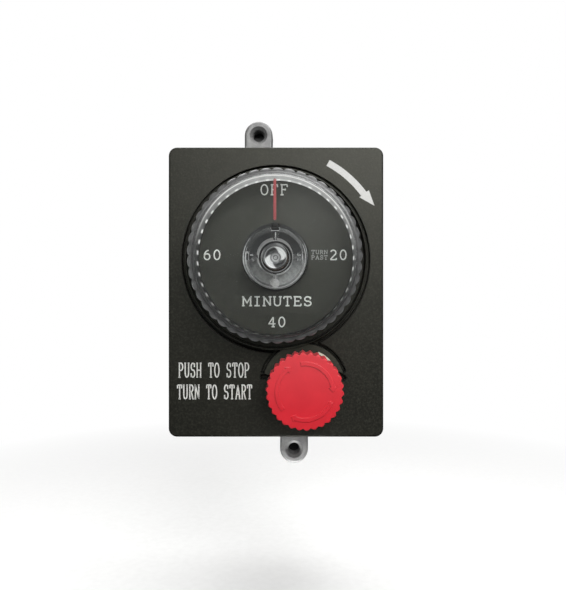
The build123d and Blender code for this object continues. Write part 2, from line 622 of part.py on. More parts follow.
# ---------------------------------------------------------------- cast valve body
BOWL_W, BOWL_TOP, BOWL_BOTTOM, BOWL_CORNER_R = 67.0, 48.0, -50.0, 8.0
CAM_RECESS_R, CAM_RECESS_FLOOR = 13.0, -43.0
CHAMBER_R, CHAMBER_FLOOR, SEAT_R = 9.0, -42.0, 5.0
GALLERY_FLOOR, GALLERY_W = -46.0, 8.0
PORT_R, PORT_DEPTH, PORT_BOSS_R, PORT_END = 7.3, 10.0, 11.5, 58.0
OUTLET_X, OUTLET_LEVEL, OUTLET_PASSAGE_LEVEL, OUTLET_PASSAGE_R = -18.5, -42.0, -39.0, 3.0
INLET_LEVEL, INLET_PASSAGE_R = -36.0, 5.0
VALVE_LEVEL, VALVE_R, THROAT_R, CROSS_HOLE_R = -39.0, 5.5, 3.5, 3.0
VALVE_MOUTH_X, VALVE_SEAT_X, THROAT_END_X = -37.0, -22.0, -11.0
CROSS_HOLE = (-25.5, DIAL[1])
COVER_INSET = 1.5
COVER_SCREWS = [(x, z) for x in (-28.5, 28.5) for z in (-44.5, 0.0, 42.5)]
COVER_SCREW_R, COVER_SCREW_TIP = 1.5, -47.0
LUGS = ((-LUG[0], LUG[1]), (LUG[0], -LUG[1]))
CLEARANCE_R = 1.7


def bowl_outline(inset):
    """The body's bowl seen from the front, on the current sketch."""
    with Locations((0, (BOWL_TOP + BOWL_BOTTOM) / 2)):
        width, height = BOWL_W - 2 * inset, BOWL_TOP - BOWL_BOTTOM - 2 * inset
        RectangleRounded(width, height, BOWL_CORNER_R - inset)


def gallery_outline():
    """The slot from the emergency stop's seat to the timer valve, on the current sketch."""
    with Locations(((ESTOP[0] + CROSS_HOLE[0]) / 2, (ESTOP[1] + CROSS_HOLE[1]) / 2)):
        length = dist(ESTOP, CROSS_HOLE)
        SlotCenterToCenter(length, GALLERY_W, rotation=direction_of(ESTOP, CROSS_HOLE))


with BuildPart() as valve_body:
    with BuildSketch(face(FLANGE_BACK)):
        RectangleRounded(FLANGE_W, FLANGE_H, 6)
        for lug in LUGS:
            with Locations(lug):
                Circle(LUG_R)
            with Locations((lug[0], lug[1] * 0.85)):
                Rectangle(2 * LUG_R, abs(lug[1]) * 0.3)
    extrude(amount=FLANGE_T)
    for lug in LUGS:
        disc(lug, LUG_R, BODY_FRONT - LUG_T, FLANGE_BACK)
    front_rim = valve_body.edges().group_by(Axis.Y)[0]
    fillet(front_rim.filter_by(lambda edge: abs(edge.center().Z) > FLANGE_H / 2 + 1), 1.0)
    with BuildSketch(face(BODY_BACK)):
        bowl_outline(0)
    extrude(amount=FLANGE_BACK - BODY_BACK)
    fillet(valve_body.faces().sort_by(Axis.Y)[-1].edges(), 1.2)
    rod((OUTLET_X, -OUTLET_LEVEL, BOWL_TOP - 6), (0, 0, 1), PORT_BOSS_R, PORT_END - BOWL_TOP + 6)
    rod((ESTOP[0], -INLET_LEVEL, BOWL_BOTTOM + 6), (0, 0, -1), PORT_BOSS_R, PORT_END + BOWL_BOTTOM + 6)
    rod((VALVE_SEAT_X, -VALVE_LEVEL, DIAL[1]), (-1, 0, 0), VALVE_R + 3, VALVE_SEAT_X - VALVE_MOUTH_X)
    # Movement pocket with the cam recess in its floor, and the emergency stop's chamber.
    disc(DIAL, POCKET_R, POCKET_FLOOR, BODY_FRONT, Mode.SUBTRACT)
    disc(DIAL, CAM_RECESS_R, CAM_RECESS_FLOOR, POCKET_FLOOR, Mode.SUBTRACT)
    disc(ESTOP, CHAMBER_R, CHAMBER_FLOOR, BODY_FRONT, Mode.SUBTRACT)
    disc(ESTOP, SEAT_R, GALLERY_FLOOR, CHAMBER_FLOOR, Mode.SUBTRACT)
    # Gallery milled from the rear between the emergency stop's seat and the timer valve.
    with BuildSketch(face(BODY_BACK)):
        gallery_outline()
    extrude(amount=GALLERY_FLOOR - BODY_BACK, mode=Mode.SUBTRACT)
    disc(CROSS_HOLE, CROSS_HOLE_R, GALLERY_FLOOR, VALVE_LEVEL, Mode.SUBTRACT)
    # Timer valve bore from the side, and the two threaded ports with their passages.
    valve_mouth = (VALVE_MOUTH_X, -VALVE_LEVEL, DIAL[1])
    rod(valve_mouth, (1, 0, 0), VALVE_R, VALVE_SEAT_X - VALVE_MOUTH_X, Mode.SUBTRACT)
    rod(valve_mouth, (1, 0, 0), THROAT_R, THROAT_END_X - VALVE_MOUTH_X, Mode.SUBTRACT)
    rod((OUTLET_X, -OUTLET_LEVEL, PORT_END), (0, 0, -1), PORT_R, PORT_DEPTH, Mode.SUBTRACT)
    outlet_start = (OUTLET_X, -OUTLET_PASSAGE_LEVEL, PORT_END)
    rod(outlet_start, (0, 0, -1), OUTLET_PASSAGE_R, PORT_END - DIAL[1], Mode.SUBTRACT)
    inlet_start = (ESTOP[0], -INLET_LEVEL, -PORT_END)
    rod(inlet_start, (0, 0, 1), PORT_R, PORT_DEPTH, Mode.SUBTRACT)
    rod(inlet_start, (0, 0, 1), INLET_PASSAGE_R, PORT_END + ESTOP[1], Mode.SUBTRACT)
    for lug in LUGS:
        disc(lug, LUG_HOLE_R, BODY_FRONT - LUG_HOLE_DEPTH, BODY_FRONT, Mode.SUBTRACT)
        bevel_r = LUG_HOLE_R + LUG_BEVEL
        turned(lug, [(0, BODY_FRONT), (bevel_r, BODY_FRONT), (0, BODY_FRONT - bevel_r)], Mode.SUBTRACT)
    for spot in FACEPLATE_SCREWS:
        disc(spot, CLEARANCE_R, FLANGE_BACK, BODY_FRONT, Mode.SUBTRACT)
    for pillar in PILLARS:
        disc(pillar, MOVEMENT_SCREW_R, MOVEMENT_SCREW_TIP, POCKET_FLOOR, Mode.SUBTRACT)
    for spot in COVER_SCREWS:
        disc(spot, COVER_SCREW_R, BODY_BACK, COVER_SCREW_TIP, Mode.SUBTRACT)
save(valve_body, "valve_body")

GASKET_BACK = BODY_BACK - COVER_GASKET_T
with BuildPart() as rear_gasket:
    with BuildSketch(face(GASKET_BACK)):
        bowl_outline(COVER_INSET)
    extrude(amount=COVER_GASKET_T)
    with BuildSketch(face(GASKET_BACK)):
        gallery_outline()
        with Locations(*COVER_SCREWS):
            Circle(CLEARANCE_R)
    extrude(amount=COVER_GASKET_T, mode=Mode.SUBTRACT)
save(rear_gasket, "rear_gasket")

COUNTERSINK_R, COUNTERSINK_DEPTH = 3.1, 1.6
with BuildPart() as rear_cover:
    with BuildSketch(face(COVER_BACK)):
        bowl_outline(COVER_INSET)
    extrude(amount=COVER_T)
    chamfer(rear_cover.faces().sort_by(Axis.Y)[-1].edges(), 0.6)
    for spot in COVER_SCREWS:
        disc(spot, CLEARANCE_R, COVER_BACK, GASKET_BACK, Mode.SUBTRACT)
        sink = [(0, COVER_BACK), (COUNTERSINK_R, COVER_BACK), (CLEARANCE_R, COVER_BACK + COUNTERSINK_DEPTH)]
        turned(spot, sink + [(0, COVER_BACK + COUNTERSINK_DEPTH)], Mode.SUBTRACT)
save(rear_cover, "rear_cover")

with BuildPart() as cover_screws:
    for spot in COVER_SCREWS:
        neck = COVER_BACK + COUNTERSINK_DEPTH
        head = [(0, COVER_BACK), (COUNTERSINK_R, COVER_BACK), (COVER_SCREW_R, neck), (0, neck)]
        turned(spot, head)
        disc(spot, COVER_SCREW_R, neck, COVER_SCREW_TIP)
        with BuildSketch(face(COVER_BACK)):
            with Locations(spot):
                Rectangle(3.2, 0.7)
                Rectangle(0.7, 3.2)
        extrude(amount=1.0, mode=Mode.SUBTRACT)
save(cover_screws, "cover_screws")

# ---------------------------------------------------------------- timer valve, along X behind the cam
STEM_R, STEM_GAP = 1.5, 0.05
STEM_TIP_X = DIAL[0] - CAM_LOW_R - STEM_GAP
VALVE_SEAL_R, VALVE_SEAL_T, VALVE_HEAD_R, VALVE_HEAD_T = 4.6, 1.2, 4.2, 1.2


def on_valve(x):
    return (x, -VALVE_LEVEL, DIAL[1])


LEFT = (-1, 0, 0)
SEAL_FRONT_X = VALVE_SEAT_X - 0.05
with BuildPart() as valve_stem:
    tip_centre_x = STEM_TIP_X - STEM_R
    rod(on_valve(tip_centre_x), LEFT, STEM_R, tip_centre_x - SEAL_FRONT_X + VALVE_SEAL_T)
    with Locations(on_valve(tip_centre_x)):
        Sphere(STEM_R)
    rod(on_valve(SEAL_FRONT_X - VALVE_SEAL_T), LEFT, VALVE_HEAD_R, VALVE_HEAD_T)
    rod(on_valve(SEAL_FRONT_X - VALVE_SEAL_T - VALVE_HEAD_T), LEFT, 2.2, 1.5)
save(valve_stem, "valve_stem")

with BuildPart() as valve_seal:
    rod(on_valve(SEAL_FRONT_X), LEFT, VALVE_SEAL_R, VALVE_SEAL_T)
    rod(on_valve(SEAL_FRONT_X), LEFT, STEM_R, VALVE_SEAL_T, Mode.SUBTRACT)
save(valve_seal, "valve_seal")

PLUG_FACE_X, PLUG_HEX_W, PLUG_HEX_T, PLUG_BORE_R, PLUG_BORE_D = -30.5, 14.0, 4.5, 4.2, 4.0
with BuildPart() as side_plug:
    rod(on_valve(PLUG_FACE_X), LEFT, VALVE_R, PLUG_FACE_X - VALVE_MOUTH_X)
    with BuildSketch(Plane(origin=on_valve(VALVE_MOUTH_X), z_dir=LEFT)):
        RegularPolygon(PLUG_HEX_W / 2, 6, major_radius=False)
    extrude(amount=PLUG_HEX_T)
    rod(on_valve(PLUG_FACE_X), LEFT, PLUG_BORE_R, PLUG_BORE_D, Mode.SUBTRACT)
save(side_plug, "side_plug")

VALVE_SPRING_R, VALVE_WIRE_R = 3.2, 0.35
with BuildPart() as valve_spring:
    spring_start = SEAL_FRONT_X - VALVE_SEAL_T - VALVE_HEAD_T - VALVE_WIRE_R - 0.05
    spring_end = PLUG_FACE_X - PLUG_BORE_D + VALVE_WIRE_R + 0.05
    coil(on_valve(spring_start), LEFT, spring_start - spring_end, VALVE_SPRING_R, VALVE_WIRE_R, 6)
save(valve_spring, "valve_spring")

GUIDE_BACK_X, GUIDE_FRONT_X, GLAND_R, GLAND_D = -15.4, -11.8, 2.9, 1.5
with BuildPart() as stem_guide:
    rod(on_valve(GUIDE_FRONT_X), LEFT, THROAT_R, GUIDE_FRONT_X - GUIDE_BACK_X)
    rod(on_valve(GUIDE_FRONT_X), LEFT, STEM_R + RUN, GUIDE_FRONT_X - GUIDE_BACK_X, Mode.SUBTRACT)
    rod(on_valve(GUIDE_BACK_X), (1, 0, 0), GLAND_R, GLAND_D, Mode.SUBTRACT)
save(stem_guide, "stem_guide")

with BuildPart() as stem_seal:
    cord_r = (GLAND_R - STEM_R - 0.02) / 2
    with Locations(Location(on_valve(GUIDE_BACK_X + GLAND_D / 2), (0, 90, 0))):
        Torus(STEM_R + 0.02 + cord_r, cord_r)
save(stem_seal, "stem_seal")

# ---------------------------------------------------------------- emergency stop
HEAD_TIP_R, HEAD_VALLEY_R, HEAD_TEETH = 15.0, 14.05, 30
HEAD_BACK, HEAD_FRONT, HEAD_BEVEL, HEAD_WALL, HEAD_FACE_T = 11.4, 22.4, 0.6, 1.9, 3.0
HEAD_STUB_R, HEAD_STUB_BACK, SHAFT_FRONT = 5.5, 4.8, 18.4
ARROW_R, ARROW_W, ARROW_H, ARROW_SPAN, ARROW_HEAD_ANGLE = 10.75, 1.5, 0.35, 89.5, 9.0
ARROW_STARTS = (98.5, -21.5, -141.5)

with BuildPart() as estop_knob:
    tooth = 360 / HEAD_TEETH
    teeth_outline = []
    for index in range(HEAD_TEETH):
        middle = (index - 0.25) * tooth
        teeth_outline.append(polar(ESTOP, HEAD_VALLEY_R, middle - tooth / 2))
        teeth_outline.append(polar(ESTOP, HEAD_TIP_R, middle - tooth / 12))
        teeth_outline.append(polar(ESTOP, HEAD_TIP_R, middle + tooth / 12))
    with BuildSketch(face(HEAD_BACK)):
        with BuildLine():
            Polyline(*teeth_outline, close=True)
        make_face()
    extrude(amount=HEAD_FRONT - HEAD_BACK)
    rim = HEAD_TIP_R + 0.2
    head_envelope = [
        (0, HEAD_BACK),
        (rim, HEAD_BACK),
        (rim, HEAD_FRONT - HEAD_BEVEL),
        (rim - HEAD_BEVEL, HEAD_FRONT),
        (0, HEAD_FRONT),
    ]
    turned(ESTOP, head_envelope, Mode.INTERSECT)
    ring(ESTOP, HEAD_VALLEY_R - HEAD_WALL, HEAD_STUB_R, HEAD_BACK, HEAD_FRONT - HEAD_FACE_T, Mode.SUBTRACT)
    disc(ESTOP, HEAD_STUB_R, HEAD_STUB_BACK, HEAD_BACK)
    disc(ESTOP, ESTOP_SHAFT_R, HEAD_STUB_BACK, SHAFT_FRONT, Mode.SUBTRACT)
    # Three raised clockwise arrows near the rim.
    with BuildSketch(face(HEAD_FRONT)):
        for start in ARROW_STARTS:
            tip_angle = start - ARROW_SPAN
            with BuildLine():
                outer = CenterArc(ESTOP, ARROW_R + ARROW_W / 2, start, -ARROW_SPAN)
                inner = CenterArc(ESTOP, ARROW_R - ARROW_W / 2, start, -ARROW_SPAN)
                Line(outer @ 0, inner @ 0)
                Line(outer @ 1, inner @ 1)
            make_face()
            barbs = [polar(ESTOP, ARROW_R + side * ARROW_W, tip_angle) for side in (-1, 1)]
            Polygon(*barbs, polar(ESTOP, ARROW_R, tip_angle - ARROW_HEAD_ANGLE))
    extrude(amount=ARROW_H)
save(estop_knob, "estop_knob")

PIN_R, PIN_HALF_L, PIN_LEVEL = 1.0, 6.0, -6.0
POPPET_LEVELS, SHAFT_NECK_R, SHAFT_BACK = (-36.0, -33.0), 2.0, -39.4
with BuildPart() as estop_shaft:
    disc(ESTOP, ESTOP_SHAFT_R, POPPET_LEVELS[1], SHAFT_FRONT)
    disc(ESTOP, SHAFT_NECK_R, SHAFT_BACK, POPPET_LEVELS[1])
    pin_start = (ESTOP[0] - PIN_HALF_L, -PIN_LEVEL, ESTOP[1])
    rod(pin_start, (1, 0, 0), PIN_R, 2 * PIN_HALF_L, Mode.SUBTRACT)
save(estop_shaft, "estop_shaft")

with BuildPart() as estop_pin:
    rod(pin_start, (1, 0, 0), PIN_R, 2 * PIN_HALF_L)
save(estop_pin, "estop_pin")

WASHER_R, WASHER_LEVELS = 5.0, (-8.0, -7.05)
with BuildPart() as estop_washer:
    ring(ESTOP, WASHER_R, ESTOP_SHAFT_R + RUN, *WASHER_LEVELS)
save(estop_washer, "estop_washer")

BONNET_FRONT, BONNET_BACK = -3.5, -29.5
RECESS_R, SPRING_WELL_R, SPRING_WELL_FLOOR = 6.4, 5.3, -20.0
RECESS_FLOOR = PIN_LEVEL - PIN_R - ESTOP_TRAVEL - 1.0
SHAFT_SEAL_LEVEL, BONNET_SEAL_LEVEL, CORD_R, SEAL_SLACK = -22.6, -26.6, 0.9, 0.02
SPANNER_HOLE_R, SPANNER_HOLE_RADIUS = 0.8, 7.7
with BuildPart() as estop_bonnet:
    disc(ESTOP, CHAMBER_R, BONNET_BACK, BONNET_FRONT)
    disc(ESTOP, ESTOP_SHAFT_R + RUN, BONNET_BACK, BONNET_FRONT, Mode.SUBTRACT)
    disc(ESTOP, SPRING_WELL_R, SPRING_WELL_FLOOR, BONNET_FRONT, Mode.SUBTRACT)
    # Butterfly recess whose ends stop the cross pin at each end of its turn.
    with BuildSketch(face(RECESS_FLOOR)):
        with Locations(ESTOP):
            for step in range(10):
                Rectangle(2 * RECESS_R, 2 * PIN_R + 0.3, rotation=-ESTOP_TURN * step / 9)
            Circle(RECESS_R, mode=Mode.INTERSECT)
    extrude(amount=BONNET_FRONT - RECESS_FLOOR, mode=Mode.SUBTRACT)
    gland_r = ESTOP_SHAFT_R + 2 * (CORD_R + SEAL_SLACK)
    gland_levels = (SHAFT_SEAL_LEVEL - CORD_R - SEAL_SLACK, SHAFT_SEAL_LEVEL + CORD_R + SEAL_SLACK)
    disc(ESTOP, gland_r, *gland_levels, Mode.SUBTRACT)
    groove_r = CHAMBER_R - 2 * (CORD_R + SEAL_SLACK)
    groove_levels = (BONNET_SEAL_LEVEL - CORD_R - SEAL_SLACK, BONNET_SEAL_LEVEL + CORD_R + SEAL_SLACK)
    ring(ESTOP, CHAMBER_R + 1, groove_r, *groove_levels, Mode.SUBTRACT)
    for side in (90 - ESTOP_TURN / 2, 270 - ESTOP_TURN / 2):
        hole = polar(ESTOP, SPANNER_HOLE_RADIUS, side)
        disc(hole, SPANNER_HOLE_R, BONNET_FRONT - 2.5, BONNET_FRONT, Mode.SUBTRACT)
save(estop_bonnet, "estop_bonnet")

with BuildPart() as shaft_seal:
    with Locations(Location((ESTOP[0], -SHAFT_SEAL_LEVEL, ESTOP[1]), (90, 0, 0))):
        Torus(ESTOP_SHAFT_R + CORD_R + SEAL_SLACK, CORD_R)
save(shaft_seal, "shaft_seal")

with BuildPart() as bonnet_seal:
    with Locations(Location((ESTOP[0], -BONNET_SEAL_LEVEL, ESTOP[1]), (90, 0, 0))):
        Torus(CHAMBER_R - CORD_R - SEAL_SLACK, CORD_R)
save(bonnet_seal, "bonnet_seal")

ESTOP_SPRING_R, ESTOP_WIRE_R = 4.2, 0.5
with BuildPart() as estop_spring:
    spring_front = WASHER_LEVELS[0] - ESTOP_WIRE_R - 0.05
    spring_back = SPRING_WELL_FLOOR + ESTOP_WIRE_R + 0.05
    spring_start = (ESTOP[0], -spring_front, ESTOP[1])
    coil(spring_start, (0, 1, 0), spring_front - spring_back, ESTOP_SPRING_R, ESTOP_WIRE_R, 6)
save(estop_spring, "estop_spring")

POPPET_R, POPPET_SEAL_R, POPPET_SEAL_T = 7.0, 6.5, 1.9
with BuildPart() as estop_poppet:
    ring(ESTOP, POPPET_R, SHAFT_NECK_R + RUN, *POPPET_LEVELS)
save(estop_poppet, "estop_poppet")

with BuildPart() as estop_seal:
    ring(ESTOP, POPPET_SEAL_R, SHAFT_NECK_R + RUN, POPPET_LEVELS[0] - POPPET_SEAL_T, POPPET_LEVELS[0])
save(estop_seal, "estop_seal")

with BuildPart() as estop_clip:
    clip_front = POPPET_LEVELS[0] - POPPET_SEAL_T - RUN
    ring(ESTOP, 3.8, SHAFT_NECK_R, clip_front - 0.9, clip_front)
save(estop_clip, "estop_clip")
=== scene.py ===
"""Looks for the gas shut-off timer: finishes, printed markings, threads, studio and camera.

Everything is in metres in the part's own frame: +X right, +Z up, and -Y towards the user. A "level" is
a distance in millimetres forward from the faceplate's back face, as in the CAD source.
"""

import json
from math import ceil, cos, pi, radians, sin

import bmesh
import bpy
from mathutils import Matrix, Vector


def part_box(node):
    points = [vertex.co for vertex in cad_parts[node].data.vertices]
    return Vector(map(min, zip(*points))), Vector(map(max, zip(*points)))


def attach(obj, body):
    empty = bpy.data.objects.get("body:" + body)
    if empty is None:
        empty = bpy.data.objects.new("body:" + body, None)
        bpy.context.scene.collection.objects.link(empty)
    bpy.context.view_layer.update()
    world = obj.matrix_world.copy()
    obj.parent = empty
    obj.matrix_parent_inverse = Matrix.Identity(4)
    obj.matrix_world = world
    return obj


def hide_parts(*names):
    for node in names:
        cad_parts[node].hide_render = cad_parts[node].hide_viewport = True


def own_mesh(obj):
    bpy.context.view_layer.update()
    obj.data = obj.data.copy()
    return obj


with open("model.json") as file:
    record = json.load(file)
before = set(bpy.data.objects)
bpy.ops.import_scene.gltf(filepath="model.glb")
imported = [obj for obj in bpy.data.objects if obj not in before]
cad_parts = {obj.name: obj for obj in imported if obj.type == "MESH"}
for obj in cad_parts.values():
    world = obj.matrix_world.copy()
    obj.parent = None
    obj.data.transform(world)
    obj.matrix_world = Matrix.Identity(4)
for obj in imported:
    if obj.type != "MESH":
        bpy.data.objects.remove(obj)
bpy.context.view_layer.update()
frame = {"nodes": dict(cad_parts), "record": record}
MM = 0.001

# ---------------------------------------------------------------- places, from the CAD frame
def axis_of(node):
    """The (x, z) place in mm of the axis of a round node."""
    low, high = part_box(node)
    return ((low.x + high.x) / 2 / MM, (low.z + high.z) / 2 / MM)


def front_of(node):
    """The level of a node's front."""
    return LEVEL_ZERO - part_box(node)[0].y / MM


DIAL, ESTOP = axis_of("dial_knob"), axis_of("estop_knob")
COVER_BACK, LUG_FRONT, PLATE_LEVEL, GUARD_LEVEL = -58.0, -2.5, 3.0, 4.2
LEVEL_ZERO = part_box("rear_cover")[1].y / MM + COVER_BACK  # y of the faceplate's back face
DIAL_FACE_LEVEL, KNOB_FRONT = front_of("faceplate"), front_of("dial_knob")
KNOB_CEILING = KNOB_FRONT - 2.4
LIP_R, LIP_CREST_R, LIP_OUTER_R = 36.95, 37.45, 39.5  # the lip round the dial's well
GUARD_R, GUARD_OUTER_R = 13.0, 16.9  # the flat top of the emergency stop's guard
BORE_R, SLEEVE_R, HUB_R, WALL_R, FLUTES = 4.7, 6.85, 12.3, 31.2, 45  # the clear knob
# The hub's bottom pad takes a painted highlight, and its left and top pads painted shade.
BRIGHT_PAD = (DIAL[0], DIAL[1] - 10.15)
DARK_PADS = ((DIAL[0] - 10.6, DIAL[1]), (DIAL[0], DIAL[1] + 11.6))
LUGS, LUG_HOLE_R = ((-7.5, 66.4), (7.5, -66.4)), 2.5
PRINT_T = 0.04


def spot(x, level, z):
    return Vector((x, LEVEL_ZERO - level, z)) * MM


# ---------------------------------------------------------------- shader graphs
class Shader:
    """A material's node graph with short calls for the nodes that the finishes share."""

    def __init__(self, name):
        self.material = bpy.data.materials.new(name)
        self.material.use_nodes = True
        self.tree = self.material.node_tree
        self.tree.nodes.clear()
        self.coordinates = self.add("ShaderNodeTexCoord").outputs["Object"]

    def put(self, socket, value):
        if isinstance(value, bpy.types.NodeSocket):
            self.tree.links.new(value, socket)
        elif socket.type == "RGBA" and len(value) == 3:
            socket.default_value = (*value, 1)
        else:
            socket.default_value = value

    def add(self, kind, inputs=None, **settings):
        node = self.tree.nodes.new(kind)
        for key, value in settings.items():
            setattr(node, key, value)
        for key, value in (inputs or {}).items():
            self.put(node.inputs[key], value)
        return node

    def noise(self, size_mm, detail=3, roughness=0.5, at=None):
        """Noise whose features are about size_mm across."""
        inputs = {"Vector": at or self.coordinates, "Scale": 1 / (size_mm * MM)}
        inputs.update({"Detail": detail, "Roughness": roughness})
        return self.add("ShaderNodeTexNoise", inputs).outputs["Fac"]

    def cells(self, size_mm):
        inputs = {"Vector": self.coordinates, "Scale": 1 / (size_mm * MM)}
        return self.add("ShaderNodeTexVoronoi", inputs).outputs["Distance"]

    def math(self, operation, first, second=0.0):
        node = self.add("ShaderNodeMath", operation=operation)
        self.put(node.inputs[0], first)
        self.put(node.inputs[1], second)
        return node.outputs[0]

    def times(self, first, second):
        return self.math("MULTIPLY", first, second)

    def larger(self, first, second):
        return self.math("MAXIMUM", first, second)

    def remap(self, value, from_low, from_high, to_low, to_high):
        inputs = {"Value": value, "From Min": from_low, "From Max": from_high}
        inputs.update({"To Min": to_low, "To Max": to_high})
        return self.add("ShaderNodeMapRange", inputs).outputs["Result"]

    def mix(self, factor, first, second):
        node = self.add("ShaderNodeMix", data_type="RGBA")
        self.put(node.inputs["Factor"], factor)
        self.put(node.inputs[6], first)
        self.put(node.inputs[7], second)
        return node.outputs[2]

    def stretched(self, x, y, z):
        """Object coordinates scaled along each axis, for grain that runs one way."""
        node = self.add("ShaderNodeMapping", {"Vector": self.coordinates, "Scale": (x, y, z)})
        return node.outputs["Vector"]

    def bump(self, height, depth_mm, strength=1.0, normal=None):
        inputs = {"Height": height, "Distance": depth_mm * MM, "Strength": strength}
        if normal is not None:
            inputs["Normal"] = normal
        return self.add("ShaderNodeBump", inputs).outputs["Normal"]

    def polar(self, axis, at=None):
        """Distance from an axis along Y in mm, the turn about it, and the (x, z) offset in mm."""
        offset = self.add("ShaderNodeVectorMath", operation="SUBTRACT")
        self.put(offset.inputs[0], at or self.coordinates)
        self.put(offset.inputs[1], spot(axis[0], 0, axis[1]))
        split = self.add("ShaderNodeSeparateXYZ", {"Vector": offset.outputs[0]})
        x, z = (self.times(split.outputs[name], 1 / MM) for name in ("X", "Z"))
        squares = self.math("ADD", self.times(x, x), self.times(z, z))
        turn = self.times(self.math("ARCTAN2", z, x), 0.5 / pi)
        return self.math("SQRT", squares), turn, (x, z)

    def position(self):
        """Where a point is in the studio, which stays put when its piece moves."""
        return self.add("ShaderNodeNewGeometry").outputs["Position"]

    def lit_height(self, axis):
        """How far a point is above an axis in mm, in the studio, for light that falls from above."""
        return self.polar(axis, self.position())[2][1]

    def level(self):
        y = self.add("ShaderNodeSeparateXYZ", {"Vector": self.coordinates}).outputs["Y"]
        return self.math("SUBTRACT", LEVEL_ZERO, self.times(y, 1 / MM))

    def between(self, value, low, high, soft=0.1):
        """1 where a value lies between two bounds and 0 outside them."""
        above = self.remap(value, low - soft, low + soft, 0, 1)
        below = self.remap(value, high - soft, high + soft, 1, 0)
        return self.times(above, below)

    def glow(self, colour, strength):
        return self.add("ShaderNodeEmission", {"Color": colour, "Strength": strength}).outputs[0]

    def blend(self, factor, first, second):
        mixed = self.add("ShaderNodeMixShader", {"Fac": factor})
        self.put(mixed.inputs[1], first)
        self.put(mixed.inputs[2], second)
        return mixed.outputs[0]

    def soft_edges(self, radius_mm):
        """Normals that round the edges off, so that they catch the light as real ones do."""
        return self.add("ShaderNodeBevel", {"Radius": radius_mm * MM}, samples=4).outputs["Normal"]

    def edge_mask(self, radius_mm):
        """1 along edges, where the rounded normal leaves the true one, and 0 on flat ground."""
        node = self.add("ShaderNodeVectorMath", operation="DOT_PRODUCT")
        self.put(node.inputs[0], self.soft_edges(radius_mm))
        self.put(node.inputs[1], self.add("ShaderNodeNewGeometry").outputs["Normal"])
        return self.remap(node.outputs["Value"], 0.995, 0.9, 0.0, 1.0)

    def principled(self, **inputs):
        named = {key.replace("_", " "): value for key, value in inputs.items()}
        return self.add("ShaderNodeBsdfPrincipled", named).outputs["BSDF"]

    def finish(self, surface):
        self.add("ShaderNodeOutputMaterial", {"Surface": surface})
        return self.material


def powder_coat():
    shader = Shader("powder_coat")
    grain = shader.noise(0.8, 5, 0.7)
    cloud = shader.noise(14, 3)
    patches = shader.remap(cloud, 0.3, 0.7, 0, 1)
    base = shader.mix(patches, (0.0040, 0.0040, 0.0028), (0.0062, 0.0062, 0.0045))
    colour = shader.mix(shader.remap(grain, 0.46, 0.76, 0, 0.7), base, (0.034, 0.034, 0.026))
    # Painted shade darkens and dulls the edges, where the fillets turn away from the lamps, except on the
    # lip's crest, the lit top of the lip and the guard's narrow top.
    radius, _, aside = shader.polar(DIAL)
    crest = shader.between(radius, LIP_R, LIP_CREST_R)
    upper = shader.remap(aside[1], 5, 25, 0, 1)
    lit_lip = shader.times(shader.between(radius, LIP_R, LIP_OUTER_R), upper)
    raised = shader.remap(shader.level(), GUARD_LEVEL - 0.3, GUARD_LEVEL - 0.1, 0, 1)
    guard_top = shader.times(raised, shader.between(shader.polar(ESTOP)[0], GUARD_R, GUARD_OUTER_R))
    spared = shader.larger(shader.larger(crest, lit_lip), guard_top)
    outline = shader.times(shader.edge_mask(0.9), shader.math("SUBTRACT", 1.0, spared))
    colour = shader.mix(outline, colour, (0.004, 0.004, 0.004))
    # The guard's narrow top is painted lighter, for the light that it catches.
    colour = shader.mix(guard_top, colour, shader.mix(grain, (0.012, 0.012, 0.009), (0.040, 0.040, 0.030)))
    shine = shader.remap(outline, 0, 0.6, 0.33, 0.0)
    roughness = shader.remap(grain, 0.3, 0.7, 0.40, 0.52)
    normal = shader.bump(grain, 0.07, 0.7, shader.soft_edges(0.35))
    inputs = {"Base_Color": colour, "Roughness": roughness, "Specular_IOR_Level": shine, "Normal": normal}
    return shader.finish(shader.principled(Specular_Tint=(1.0, 1.0, 0.88), **inputs))


def cast_aluminium():
    shader = Shader("cast_aluminium")
    grain = shader.noise(0.5, 5, 0.65)
    lumps = shader.noise(3.0, 3)
    stain = shader.noise(5.0, 4, 0.6)
    colour = shader.mix(shader.remap(stain, 0.3, 0.7, 0, 1), (0.120, 0.120, 0.120), (0.210, 0.210, 0.205))
    pits = shader.remap(shader.cells(0.9), 0.0, 0.22, 1.0, 0.0)
    colour = shader.mix(shader.times(pits, 0.35), colour, (0.08, 0.08, 0.08))
    # Painted shade darkens the cast edges round the outside, and painted shade takes the tapped holes down
    # to black with depth.
    colour = shader.mix(shader.times(shader.edge_mask(0.5), 0.7), colour, (0.05, 0.05, 0.05))
    depth = shader.remap(shader.level(), LUG_FRONT - 8.3, LUG_FRONT - 5.9, 1, 0)
    for lug in LUGS:
        bore = shader.remap(shader.polar(lug)[0], LUG_HOLE_R + 0.05, LUG_HOLE_R + 0.1, 1, 0)
        colour = shader.mix(shader.times(bore, depth), colour, (0.0, 0.0, 0.0))
    height = shader.math("ADD", shader.times(lumps, 1.6), grain)
    normal = shader.bump(height, 0.10, 0.8, shader.soft_edges(0.4))
    roughness = shader.remap(grain, 0.3, 0.7, 0.38, 0.55)
    return shader.finish(
        shader.principled(Base_Color=colour, Metallic=0.35, Roughness=roughness, Normal=normal)
    )


